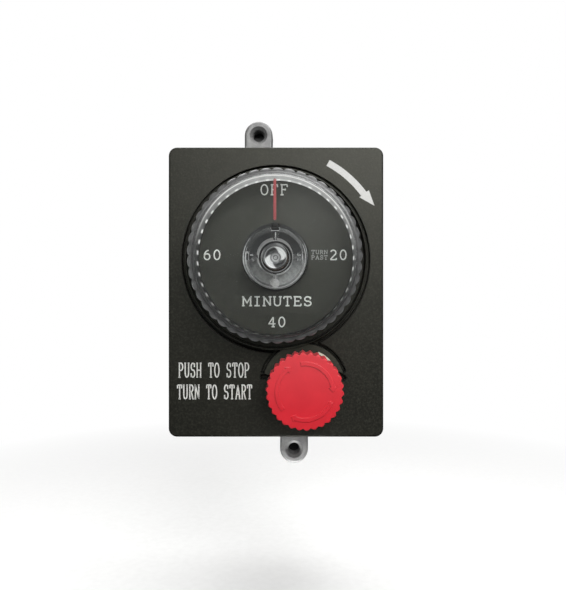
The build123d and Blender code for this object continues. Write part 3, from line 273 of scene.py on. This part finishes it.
def hub_metal():
    """The bright end of the insert and arbor, with two opposite crescents of painted highlight, partly
    glowing, for the light that turned rings throw.
    """
    shader = Shader("hub_metal")
    radius = shader.polar(DIAL)[0]
    rings = shader.add("ShaderNodeCombineXYZ", {"X": shader.times(radius, MM)}).outputs[0]
    grooves = shader.noise(0.35, 2, 0.5, rings)
    normal = shader.bump(grooves, 0.02, 0.6)
    # The painted crescents belong to the lamps, so they stay put when the dial turns.
    turn = shader.polar(DIAL, shader.position())[1]
    swirl = shader.math("ADD", shader.times(radius, -0.05), shader.math("ADD", turn, 0.067))
    glare = shader.remap(shader.math("COSINE", shader.times(swirl, 4 * pi)), -0.15, 0.25, 0, 1)
    glare = shader.times(glare, shader.between(radius, 2.2, 4.4, 0.15))
    # Thin rings of painted highlight at the edge and round the centre.
    for inner, outer, strength in ((4.25, 4.5, 0.5), (1.0, 1.7, 0.3), (0.0, 0.6, 0.4)):
        ring = shader.times(shader.between(radius, inner, outer), strength)
        glare = shader.larger(glare, ring)
    shade = shader.remap(grooves, 0.35, 0.65, 0, 1)
    dull = shader.mix(shade, (0.07, 0.07, 0.07), (0.26, 0.26, 0.26))
    bright = shader.mix(shade, (0.72, 0.72, 0.71), (1.0, 1.0, 0.99))
    metal = shader.principled(Base_Color=shader.mix(glare, dull, bright), Roughness=0.35, Normal=normal)
    lamp_image = shader.glow(bright, 0.95)
    return shader.finish(shader.blend(shader.times(glare, 0.7), metal, lamp_image))


def well_washer():
    """Zinc-plated washer on the floor of the well, with painted shade from the well's upper wall over its
    upper part.
    """
    shader = Shader("well_washer")
    scuff = shader.noise(1.2, 4, 0.65)
    below = shader.remap(shader.lit_height(DIAL), -4.0, 1.5, 1, 0)
    lit = shader.times(below, shader.remap(scuff, 0.3, 0.7, 0.6, 1.2))
    colour = shader.mix(lit, (0.018, 0.018, 0.018), (0.50, 0.50, 0.49))
    normal = shader.bump(scuff, 0.05, 0.6)
    zinc = shader.principled(Base_Color=colour, Metallic=0.2, Roughness=0.55, Normal=normal)
    return shader.finish(zinc)


def brass(name="brass", light=(0.72, 0.52, 0.24), dark=(0.58, 0.39, 0.16), roughness=0.28):
    shader = Shader(name)
    grain = shader.noise(0.25, 3, 0.5, shader.stretched(1, 1, 0.08))
    tarnish = shader.noise(5.0, 4, 0.6)
    colour = shader.mix(shader.remap(tarnish, 0.35, 0.7, 0, 1), light, dark)
    spread = shader.remap(tarnish, 0.3, 0.7, roughness, roughness + 0.15)
    normal = shader.bump(grain, 0.01, 0.5, shader.soft_edges(0.12))
    metal = shader.principled(Base_Color=colour, Metallic=1.0, Roughness=spread, Normal=normal)
    return shader.finish(metal)


def steel(name, light, dark, roughness):
    shader = Shader(name)
    grain = shader.noise(0.3, 4, 0.6)
    stain = shader.noise(2.5, 3)
    colour = shader.mix(shader.remap(stain, 0.3, 0.7, 0, 1), light, dark)
    spread = shader.remap(grain, 0.3, 0.7, roughness - 0.05, roughness + 0.1)
    normal = shader.bump(grain, 0.012, 0.4, shader.soft_edges(0.15))
    metal = shader.principled(Base_Color=colour, Metallic=1.0, Roughness=spread, Normal=normal)
    return shader.finish(metal)


def rubber(name, colour):
    shader = Shader(name)
    grain = shader.noise(0.2, 4, 0.7)
    bloom = shader.noise(6.0, 3)
    tone = shader.mix(shader.remap(bloom, 0.4, 0.8, 0, 0.5), colour, (0.07, 0.07, 0.07))
    normal = shader.bump(grain, 0.03, 0.6)
    return shader.finish(shader.principled(Base_Color=tone, Roughness=0.75, Normal=normal))


def red_plastic():
    shader = Shader("red_plastic")
    cloud = shader.noise(6.0, 3)
    grain = shader.noise(0.4, 4, 0.6)
    base = shader.mix(shader.remap(cloud, 0.3, 0.7, 0, 1), (0.565, 0.009, 0.020), (0.62, 0.012, 0.024))
    edges = shader.edge_mask(0.3)
    colour = shader.mix(shader.times(edges, 0.10), base, (0.80, 0.10, 0.12))
    roughness = shader.remap(grain, 0.3, 0.7, 0.34, 0.46)
    normal = shader.bump(grain, 0.012, 0.5, shader.soft_edges(0.25))
    # A faint pale sheen, painted on and glowing, stands in for the upper softbox and dies away down the
    # knob.
    sheen = shader.remap(shader.lit_height(ESTOP), -8, 14, 0, 0.028)
    inputs = {"Base_Color": colour, "Roughness": roughness, "Normal": normal, "Subsurface_Weight": 0.08}
    inputs.update({"Subsurface_Radius": (0.004, 0.001, 0.001), "Subsurface_Scale": 0.5})
    inputs.update({"Emission_Color": (1.0, 0.95, 0.95), "Emission_Strength": sheen})
    return shader.finish(shader.principled(**inputs))


def white_plastic():
    shader = Shader("white_plastic")
    cloud = shader.noise(3.0, 3)
    colour = shader.mix(shader.remap(cloud, 0.3, 0.7, 0, 1), (0.74, 0.73, 0.68), (0.82, 0.81, 0.77))
    normal = shader.bump(shader.noise(0.3, 3), 0.01, 0.4, shader.soft_edges(0.2))
    return shader.finish(shader.principled(Base_Color=colour, Roughness=0.4, Normal=normal))


class ClearPlastic(Shader):
    """Clear moulded plastic, frosted in its fluted rim and ribbed hub, with painted light, painted glints
    and painted reflections where light gathers there.
    """

    def __init__(self):
        super().__init__("clear_plastic")
        self.radius, turn, self.aside = self.polar(DIAL)
        self.height = self.lit_height(DIAL)
        self.depth = self.level()
        self.mottle = self.noise(1.6, 4, 0.6)
        self.crest = self.math("COSINE", self.times(turn, 2 * pi * FLUTES))
        self.shadow = self.add("ShaderNodeLightPath").outputs["Is Shadow Ray"]
        # A near-black finish, for the dark gap painted in the rim and the painted shade in the hub.
        self.black = self.principled(Base_Color=(0.006, 0.006, 0.006), Roughness=0.3)

    def glass(self):
        glass = self.add("ShaderNodeBsdfGlass", {"Color": (0.96, 0.97, 0.97), "IOR": 1.49})
        self.put(glass.inputs["Roughness"], self.remap(self.mottle, 0.4, 0.75, 0.01, 0.05))
        self.put(glass.inputs["Normal"], self.bump(self.noise(7.0, 2, 0.4), 0.06, 0.5))
        through = self.add("ShaderNodeBsdfTransparent", {"Color": (0.90, 0.91, 0.91)})
        return self.blend(self.shadow, glass.outputs[0], through.outputs[0])

    def add_rim(self, under):
        """The fluted rim is milky, painted lighter on the flutes' crests and towards the top where the
        light falls, with a dark gap painted just inside its front edge.
        """
        # Painted light makes the facets lighter on each flute's crest and towards the top.
        facets = self.remap(self.crest, -0.9, 0.7, 0.15, 1)
        facets = self.times(facets, self.remap(self.mottle, 0.3, 0.7, 0.5, 1.3))
        facets = self.times(facets, self.remap(self.height, -33, 0, 0.4, 1))
        facets = self.times(facets, self.remap(self.radius, WALL_R, WALL_R + 1.4, 0.3, 1))
        tone = self.mix(facets, (0.003, 0.003, 0.003), (0.048, 0.047, 0.049))
        frost = self.principled(Base_Color=tone, Roughness=0.32, Specular_IOR_Level=0.5)
        shining = self.add("ShaderNodeBsdfTranslucent", {"Color": (0.72, 0.72, 0.71)}).outputs[0]
        # The translucent share is painted larger towards the top, where the light falls.
        milk = self.blend(self.remap(self.height, -33, 5, 0.10, 0.30), frost, shining)
        share = self.remap(self.shadow, 0, 1, 0.80, 0.15)
        rim = self.times(self.remap(self.radius, WALL_R - 0.1, WALL_R + 0.3, 0, 1), share)
        near_front = self.remap(self.depth, KNOB_FRONT - 2.0, KNOB_FRONT - 1.5, 0, 1)
        gap = self.times(self.between(self.radius, WALL_R - 0.4, WALL_R + 0.4, 0.15), 0.6)
        gap = self.times(gap, near_front)
        return self.blend(gap, self.blend(rim, under, milk), self.black)

    def hub_lines(self):
        """Thin lines of painted highlight, partly glowing, where corners of the hub's rings, its ribs and
        its bottom pad catch the light.
        """
        radius, (x, z) = self.radius, self.aside
        outer = self.between(radius, HUB_R - 0.5, HUB_R - 0.1)
        lines = self.times(outer, self.remap(self.height, 2, 9, 1, 0.1))
        for ring, half_w in ((HUB_R - 1.5, 0.14), (SLEEVE_R, 0.12), (BORE_R + 1.0, 0.10)):
            lines = self.larger(lines, self.between(radius, ring - half_w, ring + half_w))
        ribs = self.between(self.math("ABSOLUTE", z), 0.85, 1.2)
        ribs = self.larger(ribs, self.between(self.math("ABSOLUTE", x), 0.0, 0.2))
        lines = self.larger(lines, self.times(ribs, self.between(radius, 7.2, 10.2)))
        lines = self.larger(lines, self.remap(self.polar(BRIGHT_PAD)[0], 1.6, 1.8, 1, 0))
        return self.times(lines, self.remap(self.mottle, 0.3, 0.7, 0.35, 0.95))

    def add_hub(self, under):
        """The hub is frosted, painted brightest low down on the left where the light falls, round a sleeve
        and two pads painted black as shade.
        """
        radius = self.radius
        behind = self.remap(self.depth, KNOB_CEILING - 0.3, KNOB_CEILING - 0.1, 1, 0)
        low = self.remap(self.height, -2.0, 1.0, 1, 0)
        lit_tone = self.mix(low, (0.20, 0.20, 0.20), (0.70, 0.70, 0.69))
        tone = self.mix(self.mottle, (0.03, 0.03, 0.03), lit_tone)
        frost = self.principled(Base_Color=tone, Roughness=0.35)
        thick = self.times(self.remap(low, 0, 1, 0.3, 0.8), self.remap(self.aside[0], -9, 9, 1.0, 0.6))
        hub = self.times(self.between(radius, SLEEVE_R, HUB_R), thick)
        sleeve = self.times(self.between(radius, BORE_R, SLEEVE_R), 0.8)
        for pad in DARK_PADS:
            sleeve = self.larger(sleeve, self.remap(self.polar(pad)[0], 1.1, 1.5, 0.8, 0))
        shiny = self.principled(Base_Color=(0.90, 0.90, 0.89), Roughness=0.3)
        glint = self.blend(0.5, shiny, self.glow((1, 1, 0.98), 0.55))
        over = self.blend(self.times(hub, behind), under, frost)
        over = self.blend(self.times(sleeve, behind), over, self.black)
        return self.blend(self.times(self.hub_lines(), behind), over, glint)

    def add_dashes(self, under):
        """Painted glints, glowing, for the light that the inner wall throws out again in one bright dash
        for each flute, strongest over the top.
        """
        wall = self.between(self.radius, WALL_R, WALL_R + 0.6)
        wall = self.times(wall, self.between(self.depth, 6.0, 10.8, 0.8))
        wall = self.times(wall, self.remap(self.height, -30, 10, 0.15, 1))
        dash = self.larger(self.remap(self.crest, 0.1, 0.8, 0, 1), self.remap(self.height, 20, 32, 0, 0.5))
        return self.blend(self.times(wall, dash), under, self.glow((1, 1, 0.97), 0.9))

    def add_veil(self, under):
        """Painted reflections, glowing, on the flat front: a pale card beside the camera and, over the top,
        a crisp edge of light with a pale band inside it.
        """
        card = (DIAL[0] + 16, DIAL[1] + 19)
        veil = self.remap(self.polar(card, self.position())[0], 4, 24, 0.030, 0.008)
        crisp = self.times(self.between(self.radius, WALL_R - 1.1, WALL_R - 0.7, 0.08), 0.75)
        pale = self.remap(self.mottle, 0.3, 0.7, 0.03, 0.14)
        band = self.times(self.between(self.radius, WALL_R - 2.8, WALL_R - 0.9, 0.3), pale)
        edge = self.times(self.larger(crisp, band), self.remap(self.height, 4, 20, 0, 1))
        front = self.remap(self.depth, KNOB_FRONT - 0.1, KNOB_FRONT, 0, 1)
        return self.blend(self.times(front, self.larger(veil, edge)), under, self.glow((1, 1, 0.97), 0.9))


def clear_plastic():
    shader = ClearPlastic()
    surface = shader.add_hub(shader.add_rim(shader.glass()))
    return shader.finish(shader.add_veil(shader.add_dashes(surface)))


def ink(name, full, thin):
    """Screen-printed ink that thins a little where it was pressed."""
    shader = Shader(name)
    speckle = shader.noise(0.35, 4, 0.7)
    colour = shader.mix(shader.remap(speckle, 0.35, 0.62, 0, 1), thin, full)
    normal = shader.bump(speckle, 0.01, 0.4)
    return shader.finish(shader.principled(Base_Color=colour, Roughness=0.55, Normal=normal))


STEEL, STEEL_DARK = (0.66, 0.66, 0.65), (0.52, 0.52, 0.51)
FINISHES = {
    "black_casting": powder_coat(),
    "foam_rubber": rubber("foam_rubber", (0.020, 0.020, 0.020)),
    "zinc_steel": steel("zinc_steel", (0.62, 0.63, 0.64), (0.50, 0.51, 0.50), 0.32),
    "clear_plastic": clear_plastic(),
    "turned_steel": steel("turned_steel", STEEL, STEEL_DARK, 0.25),
    "bronze": brass("bronze", (0.52, 0.33, 0.17), (0.38, 0.23, 0.11), 0.5),
    "brass": brass(),
    "spring_steel": steel("spring_steel", (0.16, 0.18, 0.25), (0.10, 0.11, 0.15), 0.3),
    "cast_aluminium": cast_aluminium(),
    "red_plastic": red_plastic(),
    "nitrile": rubber("nitrile", (0.014, 0.014, 0.015)),
    "white_acetal": white_plastic(),
}
WHITE_INK = ink("white_ink", (0.78, 0.78, 0.74), (0.48, 0.48, 0.46))
DIAL_INK = ink("dial_ink", (0.58, 0.58, 0.545), (0.44, 0.44, 0.415))
ARROW_INK = ink("arrow_ink", (0.56, 0.56, 0.54), (0.47, 0.47, 0.455))
FAINT_INK = ink("faint_ink", (0.34, 0.34, 0.325), (0.20, 0.20, 0.19))
RED_INK = ink("red_ink", (0.21, 0.001, 0.004), (0.17, 0.001, 0.003))
CREAM = ink("cream_paint", (0.66, 0.62, 0.50), (0.52, 0.48, 0.38))


def paint_cad_nodes():
    for entry in frame["record"]["subparts"]:
        mesh = frame["nodes"][entry["node"]].data
        mesh.materials.clear()
        mesh.materials.append(FINISHES[entry["material_slot"]])
    bright_end = hub_metal()
    for node in ("knob_insert", "main_arbor"):
        frame["nodes"][node].data.materials[0] = bright_end
    frame["nodes"]["dial_washer"].data.materials[0] = well_washer()


paint_cad_nodes()


# ---------------------------------------------------------------- mesh helpers
def new_piece(name, bm, material, body):
    mesh = bpy.data.meshes.new(name)
    bmesh.ops.recalc_face_normals(bm, faces=bm.faces)
    bm.to_mesh(mesh)
    bm.free()
    mesh.materials.append(material)
    piece = bpy.data.objects.new(name, mesh)
    bpy.context.scene.collection.objects.link(piece)
    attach(piece, body)
    return piece


def add_slab(bm, outline, level):
    """A thin flat slab with the given (x, z) outline, from just under a level to PRINT_T above it."""
    back = [bm.verts.new(spot(x, level - PRINT_T / 2, z)) for x, z in outline]
    front = [bm.verts.new(spot(x, level + PRINT_T, z)) for x, z in outline]
    bm.faces.new(front)
    bm.faces.new(list(reversed(back)))
    for index in range(len(outline)):
        after = (index + 1) % len(outline)
        bm.faces.new((back[index], back[after], front[after], front[index]))


def add_stroke(bm, points, weight, level):
    """One pen stroke of an even weight: a thin ribbon along the points, closed if the ends meet."""
    closed = (Vector(points[0]) - Vector(points[-1])).length < 1e-6
    if closed:
        points = points[:-1]
    count = len(points)
    sides = []
    for index, point in enumerate(points):
        before = points[(index - 1) % count] if closed or index > 0 else None
        after = points[(index + 1) % count] if closed or index < count - 1 else None
        ways = []
        if before is not None:
            ways.append((Vector(point) - Vector(before)).normalized())
        if after is not None:
            ways.append((Vector(after) - Vector(point)).normalized())
        way = sum(ways, Vector((0, 0))).normalized()
        mitre = min(1.6, 1 / max(0.3, way.dot(ways[0])))
        normal = Vector((-way.y, way.x)) * weight / 2 * mitre
        sides.append((Vector(point) + normal, Vector(point) - normal))
    corners = []
    for left, right in sides:
        ends = [(left, PRINT_T), (right, PRINT_T), (right, -PRINT_T / 2), (left, -PRINT_T / 2)]
        corners.append([bm.verts.new(spot(p.x, level + rise, p.y)) for p, rise in ends])
    spans = count if closed else count - 1
    for index in range(spans):
        here, there = corners[index], corners[(index + 1) % count]
        for side in range(4):
            after = (side + 1) % 4
            bm.faces.new((here[side], there[side], there[after], here[after]))
    if not closed:
        bm.faces.new(list(reversed(corners[0])))
        bm.faces.new(corners[-1])


# ---------------------------------------------------------------- lettering
def bow(cx, cy, rx, ry, start, end):
    """Points of an elliptical arc in a letter's unit square, between two angles in degrees."""
    steps = max(4, ceil(abs(end - start) / 15))
    turns = [radians(start + (end - start) * step / steps) for step in range(steps + 1)]
    return [(cx + rx * cos(turn), cy + ry * sin(turn)) for turn in turns]


def bar(x0, y0, x1, y1):
    return [(x0, y0), (x1, y1)]


def serif(x, y, reach=0.17):
    return bar(x - reach, y, x + reach, y)


TALL = bar(0.5, 0, 0.5, 1)
LETTERS = {
    "A": [bar(0.12, 0, 0.5, 1), bar(0.88, 0, 0.5, 1), bar(0.26, 0.33, 0.74, 0.33)]
    + [serif(0.12, 0), serif(0.88, 0)],
    "E": [bar(0.2, 0, 0.2, 1), bar(0.04, 1, 0.86, 1), bar(0.04, 0, 0.88, 0), bar(0.2, 0.52, 0.62, 0.52)]
    + [bar(0.86, 1, 0.86, 0.76), bar(0.88, 0, 0.88, 0.24), bar(0.62, 0.42, 0.62, 0.62)],
    "F": [bar(0.22, 0, 0.22, 1), bar(0.06, 1, 0.9, 1), serif(0.24, 0, 0.2), bar(0.22, 0.52, 0.64, 0.52)]
    + [bar(0.9, 1, 0.9, 0.76), bar(0.64, 0.42, 0.64, 0.62)],
    "H": [bar(0.16, 0, 0.16, 1), bar(0.84, 0, 0.84, 1), bar(0.16, 0.5, 0.84, 0.5)]
    + [serif(x, y) for x in (0.16, 0.84) for y in (0, 1)],
    "I": [TALL, serif(0.5, 0, 0.3), serif(0.5, 1, 0.3)],
    "M": [bar(0.08, 0, 0.08, 1), bar(0.92, 0, 0.92, 1), [(0.08, 1), (0.5, 0.3), (0.92, 1)]]
    + [serif(0.08, 0, 0.15), serif(0.92, 0, 0.15), bar(-0.06, 1, 0.12, 1), bar(0.88, 1, 1.06, 1)],
    "N": [bar(0.14, 0, 0.14, 1), bar(0.84, 0, 0.84, 1), bar(0.14, 1, 0.84, 0.03)]
    + [serif(0.14, 0), serif(0.84, 1), bar(-0.02, 1, 0.16, 1)],
    "O": [bow(0.5, 0.5, 0.42, 0.5, 90, 450)],
    "P": [bar(0.2, 0, 0.2, 1), serif(0.22, 0, 0.2)]
    + [bar(0.04, 1, 0.5, 1) + bow(0.5, 0.74, 0.36, 0.26, 75, -90), bar(0.5, 0.48, 0.2, 0.48)],
    "R": [bar(0.2, 0, 0.2, 1), serif(0.2, 0), bar(0.04, 1, 0.5, 1) + bow(0.5, 0.76, 0.34, 0.24, 75, -90)]
    + [bar(0.5, 0.52, 0.2, 0.52), bar(0.5, 0.52, 0.84, 0), bar(0.76, 0, 1.0, 0)],
    "S": [bow(0.49, 0.75, 0.33, 0.25, 35, 265) + bow(0.5, 0.26, 0.36, 0.26, 85, -150)]
    + [bar(0.8, 1.0, 0.8, 0.72), bar(0.16, 0.0, 0.16, 0.28)],
    "T": [TALL, bar(0.08, 1, 0.92, 1), bar(0.08, 1, 0.08, 0.76), bar(0.92, 1, 0.92, 0.76)]
    + [serif(0.5, 0, 0.22)],
    "U": [bar(0.16, 1, 0.16, 0.32) + bow(0.5, 0.32, 0.34, 0.32, 180, 360)[1:] + [(0.84, 1)]]
    + [serif(0.16, 1), serif(0.84, 1)],
    "0": [bow(0.5, 0.5, 0.36, 0.5, 90, 450)],
    "2": [bow(0.5, 0.72, 0.33, 0.28, 160, -25) + [(0.14, 0.03)], bar(0.12, 0, 0.88, 0)]
    + [bar(0.88, 0, 0.88, 0.16)],
    "4": [[(0.66, 1), (0.1, 0.3), (0.94, 0.3)], bar(0.66, 1, 0.66, 0), serif(0.66, 0, 0.2)],
    "6": [bow(0.5, 0.31, 0.35, 0.31, 90, 450), bow(0.78, 0.34, 0.63, 0.66, 182, 98)],
    " ": [],
}


def write(bm, words, centre, advance, height, weight, level, fill=0.8):
    """Letters drawn in strokes, centred on a point of the face.

    Each letter has a cell of the same width, the advance, and takes up the share of it that fill gives.
    """
    start = centre[0] - advance * len(words) / 2
    inner = height - weight
    for index, letter in enumerate(words):
        left = start + advance * (index + (1 - fill) / 2)
        for stroke in LETTERS[letter]:
            points = [(left + u * advance * fill, centre[1] - inner / 2 + v * inner) for u, v in stroke]
            add_stroke(bm, points, weight, level)


def around(angle, radius):
    """A place at a clockwise angle from the top of the dial."""
    return (DIAL[0] + radius * sin(radians(angle)), DIAL[1] + radius * cos(radians(angle)))


def dial_print():
    bm = bmesh.new()
    write(bm, "OFF", (DIAL[0] - 0.55, DIAL[1] + 27.3), 3.95, 4.5, 0.48, DIAL_FACE_LEVEL)
    write(bm, "MINUTES", (DIAL[0] + 0.7, DIAL[1] - 17.4), 4.06, 4.1, 0.55, DIAL_FACE_LEVEL, 0.86)
    numbers = {"20": (25.1, 1.2), "40": (0.5, -25.7), "60": (-25.5, 1.2)}
    for words, (x, z) in numbers.items():
        write(bm, words, (DIAL[0] + x, DIAL[1] + z), 3.95, 4.3, 0.5, DIAL_FACE_LEVEL)
    new_piece("dial_print", bm, DIAL_INK, "case")


def reminder_print():
    bm = bmesh.new()
    for words, z in (("TURN", 2.3), ("PAST", 0.15)):
        write(bm, words, (DIAL[0] + 17.6, DIAL[1] + z), 1.72, 1.7, 0.2, DIAL_FACE_LEVEL, 0.84)
    new_piece("reminder_print", bm, FAINT_INK, "case")


def plate_print():
    bm = bmesh.new()
    write(bm, "PUSH TO STOP", (-25.7, -32.3), 2.48, 6.3, 0.50, PLATE_LEVEL, 0.84)
    write(bm, "TURN TO START", (-25.4, -41.3), 2.41, 6.2, 0.50, PLATE_LEVEL, 0.84)
    new_piece("plate_print", bm, WHITE_INK, "case")


def plate_arrow():
    """The white clockwise arrow outside the dial's upper right."""
    radius, half_w, head_half_w = 45.2, 1.36, 2.3
    tail, neck, tip = 28.4, 53.4, 61.6
    turns = [tail + (neck - tail) * step / 24 for step in range(25)]
    outline = [around(turn, radius + half_w) for turn in turns]
    outline.append(around(neck, radius + head_half_w + 0.3))
    outline.append(around(tip, radius + 1.1))
    outline.append(around(neck, radius - head_half_w))
    outline += [around(turn, radius - half_w) for turn in reversed(turns)]
    bm = bmesh.new()
    add_slab(bm, outline, PLATE_LEVEL)
    new_piece("plate_arrow", bm, ARROW_INK, "case")


def pointer_line():
    """Red paint that fills the groove under the knob's face."""
    bm = bmesh.new()
    half_w, cap_h = 0.54, 0.4
    near, far = 14.0, 29.0
    outline = []
    for end, first in ((near, 180), (far, 0)):
        for turn in range(first, first + 181, 30):
            x, z = half_w * cos(radians(turn)), end + cap_h * sin(radians(turn))
            outline.append((DIAL[0] + x, DIAL[1] + z))
    add_slab(bm, outline, KNOB_CEILING + 0.1)
    new_piece("pointer_line", bm, RED_INK, "dial")


def index_mark():
    """Cream paint on the guard, just above the emergency-stop knob."""
    inner, outer = 14.0, 14.9
    turns = [radians(turn) for turn in range(43, 67)]
    outline = [(ESTOP[0] + outer * cos(turn), ESTOP[1] + outer * sin(turn)) for turn in turns]
    outline += [(ESTOP[0] + inner * cos(turn), ESTOP[1] + inner * sin(turn)) for turn in reversed(turns)]
    bm = bmesh.new()
    add_slab(bm, outline, GUARD_LEVEL)
    new_piece("index_mark", bm, CREAM, "case")


dial_print()
reminder_print()
plate_print()
plate_arrow()
pointer_line()
index_mark()


# ---------------------------------------------------------------- screw threads
def internal_thread(name, mouth, inward, radius, length, pitch, height):
    """The ridge of an internal thread in the cast body, wound from a bore's mouth."""
    axis = Vector(inward)
    side = axis.orthogonal().normalized()
    up = axis.cross(side)
    steps = 32
    foot, crest = 0.46, 0.08  # half-widths of the ridge, as shares of the pitch
    total = round(length / pitch * steps)
    bm = bmesh.new()
    rows = []
    for index in range(total + 1):
        turn = 2 * pi * index / steps
        fade = min(1.0, index / steps, (total - index) / steps)
        out = side * cos(turn) + up * sin(turn)
        along = pitch * (0.5 + index / steps)
        inner = radius - height * max(0.05, fade)
        profile = [(radius, -foot), (inner, -crest), (inner, crest), (radius, foot)]
        places = [Vector(mouth) + out * r + axis * (along + share * pitch) for r, share in profile]
        rows.append([bm.verts.new(place * MM) for place in places])
    for here, there in zip(rows, rows[1:]):
        for index in range(4):
            after = (index + 1) % 4
            bm.faces.new((here[index], there[index], there[after], here[after]))
    bm.faces.new(rows[0])
    bm.faces.new(list(reversed(rows[-1])))
    piece = new_piece(name, bm, FINISHES["cast_aluminium"], "case")


def port_threads():
    pitch, height, run_out = 1.41, 0.6, 1.5
    for mount in frame["record"]["mounts"]:
        if mount["kind"] == "threaded_hole":
            mouth = [value / MM for value in mount["pos_m"]]
            inward = [-value for value in mount["axis"]]
            radius, length = mount["dims"]["r_mm"], mount["dims"]["length_mm"] - run_out
            internal_thread(mount["name"] + "_thread", mouth, inward, radius, length, pitch, height)


def lug_threads():
    pitch, height, length, bevel = 1.0, 0.22, 6.5, 1.0
    for side, (x, z) in zip(("top", "bottom"), LUGS):
        mouth = spot(x, LUG_FRONT - bevel, z) / MM
        internal_thread(f"lug_thread_{side}", mouth, (0, 1, 0), LUG_HOLE_R, length, pitch, height)


port_threads()
lug_threads()


# ---------------------------------------------------------------- coil springs
def shortening_spring(node, axis_name, fixed_end):
    """A coil spring, copied onto the case body in place of its CAD node."""
    source = frame["nodes"][node]
    mesh = source.data.copy()
    mesh.transform(source.matrix_world)
    spring = bpy.data.objects.new(node + "_coil", mesh)
    bpy.context.scene.collection.objects.link(spring)
    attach(spring, "case")
    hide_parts(node)
    index = "xyz".index(axis_name)
    axis, anchor = [0.0, 0.0, 0.0], [0.0, 0.0, 0.0]
    axis[index], anchor[index] = 1.0, fixed_end
    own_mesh(spring)


for joint in frame["record"]["behaviour"]["joints"]:
    for change in joint.get("deforming_nodes", []):
        if change["mode"].startswith("scale_"):
            axis_name = change["mode"][-1]
            fixed_end = change[f"fixed_end_{axis_name}_m"]
            shortening_spring(change["node"], axis_name, fixed_end)


# ---------------------------------------------------------------- studio
FLOOR_Z = -0.130
FLOOR_R = 4.0


def floor_material():
    """Pale matt floor that the camera sees fade to plain white, with little bounce onto the part."""
    shader = Shader("pale_floor")
    distance = shader.add("ShaderNodeVectorMath", operation="LENGTH")
    shader.put(distance.inputs[0], shader.coordinates)
    fade = shader.remap(distance.outputs["Value"], 0.10, 0.35, 0, 1)
    grain = shader.noise(3.0, 3)
    colour = shader.mix(shader.remap(grain, 0.3, 0.7, 0, 1), (0.80, 0.80, 0.79), (0.84, 0.84, 0.83))
    matt = shader.principled(Base_Color=colour, Roughness=0.9)
    white = shader.glow((1, 1, 1), 1.0)
    seen = shader.add("ShaderNodeLightPath").outputs["Is Camera Ray"]
    flag = shader.principled(Base_Color=(0.12, 0.12, 0.12), Roughness=0.9)
    return shader.finish(shader.blend(seen, flag, shader.blend(fade, matt, white)))


def studio_floor():
    bm = bmesh.new()
    turns = [2 * pi * step / 64 for step in range(64)]
    bm.faces.new([bm.verts.new((FLOOR_R * cos(turn), FLOOR_R * sin(turn), FLOOR_Z)) for turn in turns])
    mesh = bpy.data.meshes.new("floor")
    bm.to_mesh(mesh)
    bm.free()
    mesh.materials.append(floor_material())
    floor = bpy.data.objects.new("floor", mesh)
    bpy.context.scene.collection.objects.link(floor)


def studio_world():
    """White to the camera, and for everything else a dim sky that is brighter overhead."""
    world = bpy.data.worlds.new("studio")
    bpy.context.scene.world = world
    world.use_nodes = True
    tree = world.node_tree
    tree.nodes.clear()
    new = tree.nodes.new
    coordinates = new("ShaderNodeTexCoord")
    split, height = new("ShaderNodeSeparateXYZ"), new("ShaderNodeMapRange")
    tree.links.new(coordinates.outputs["Generated"], split.inputs[0])
    tree.links.new(split.outputs["Z"], height.inputs["Value"])
    for key, value in {"From Min": -0.3, "From Max": 1.0, "To Min": 0.07, "To Max": 0.35}.items():
        height.inputs[key].default_value = value
    sky, white = new("ShaderNodeBackground"), new("ShaderNodeBackground")
    white.inputs["Color"].default_value = (1, 1, 1, 1)
    tree.links.new(height.outputs["Result"], sky.inputs["Strength"])
    path, choice = new("ShaderNodeLightPath"), new("ShaderNodeMixShader")
    output = new("ShaderNodeOutputWorld")
    tree.links.new(path.outputs["Is Camera Ray"], choice.inputs["Fac"])
    tree.links.new(sky.outputs[0], choice.inputs[1])
    tree.links.new(white.outputs[0], choice.inputs[2])
    tree.links.new(choice.outputs[0], output.inputs["Surface"])


def softbox(name, place, target, width, height, power, spread=180):
    """A rectangular lamp, with its size in metres, its power in watts and its spread in degrees."""
    light = bpy.data.lights.new(name, "AREA")
    light.shape = "RECTANGLE"
    light.size, light.size_y, light.energy = width, height, power
    light.spread = radians(spread)
    lamp = bpy.data.objects.new(name, light)
    bpy.context.scene.collection.objects.link(lamp)
    lamp.location = place
    lamp.rotation_euler = (target - place).to_track_quat("-Z", "Y").to_euler()
    lamp.visible_camera = False


studio_floor()
studio_world()
softbox("key", spot(180, 500, 320), spot(0, 0, 0), 0.40, 0.30, 3.6)
softbox("strip", spot(30, 470, 165), spot(0, 10, 10), 0.50, 0.05, 0.7)
softbox("overhead", spot(20, -60, 330), spot(0, 0, 20), 0.45, 0.30, 2.2)
softbox("kicker", spot(4, 20, -122), spot(6, -20, -72), 0.03, 0.03, 0.022, 60)


# ---------------------------------------------------------------- camera
CAMERA_DISTANCE, CAMERA_X, CAMERA_Z = 250.0, 5.8, -1.2
VIEW_H = 244.142  # the height in mm that the picture takes in at the faceplate
AXIS_SHARE = 0.011864  # the lens's axis is this share of VIEW_H to the right of the picture's middle

camera_data = bpy.data.cameras.new("camera")
camera_data.sensor_width = 36.0
camera_data.lens = camera_data.sensor_width * CAMERA_DISTANCE / VIEW_H
camera_data.shift_x = -AXIS_SHARE
camera_data.clip_start = 0.01
camera = bpy.data.objects.new("camera", camera_data)
bpy.context.scene.collection.objects.link(camera)
camera.location = spot(CAMERA_X, PLATE_LEVEL + CAMERA_DISTANCE, CAMERA_Z)
camera.rotation_euler = (pi / 2, 0, 0)
bpy.context.scene.camera = camera
bpy.context.scene.view_settings.view_transform = "Standard"
bpy.context.scene.cycles.use_denoising = True
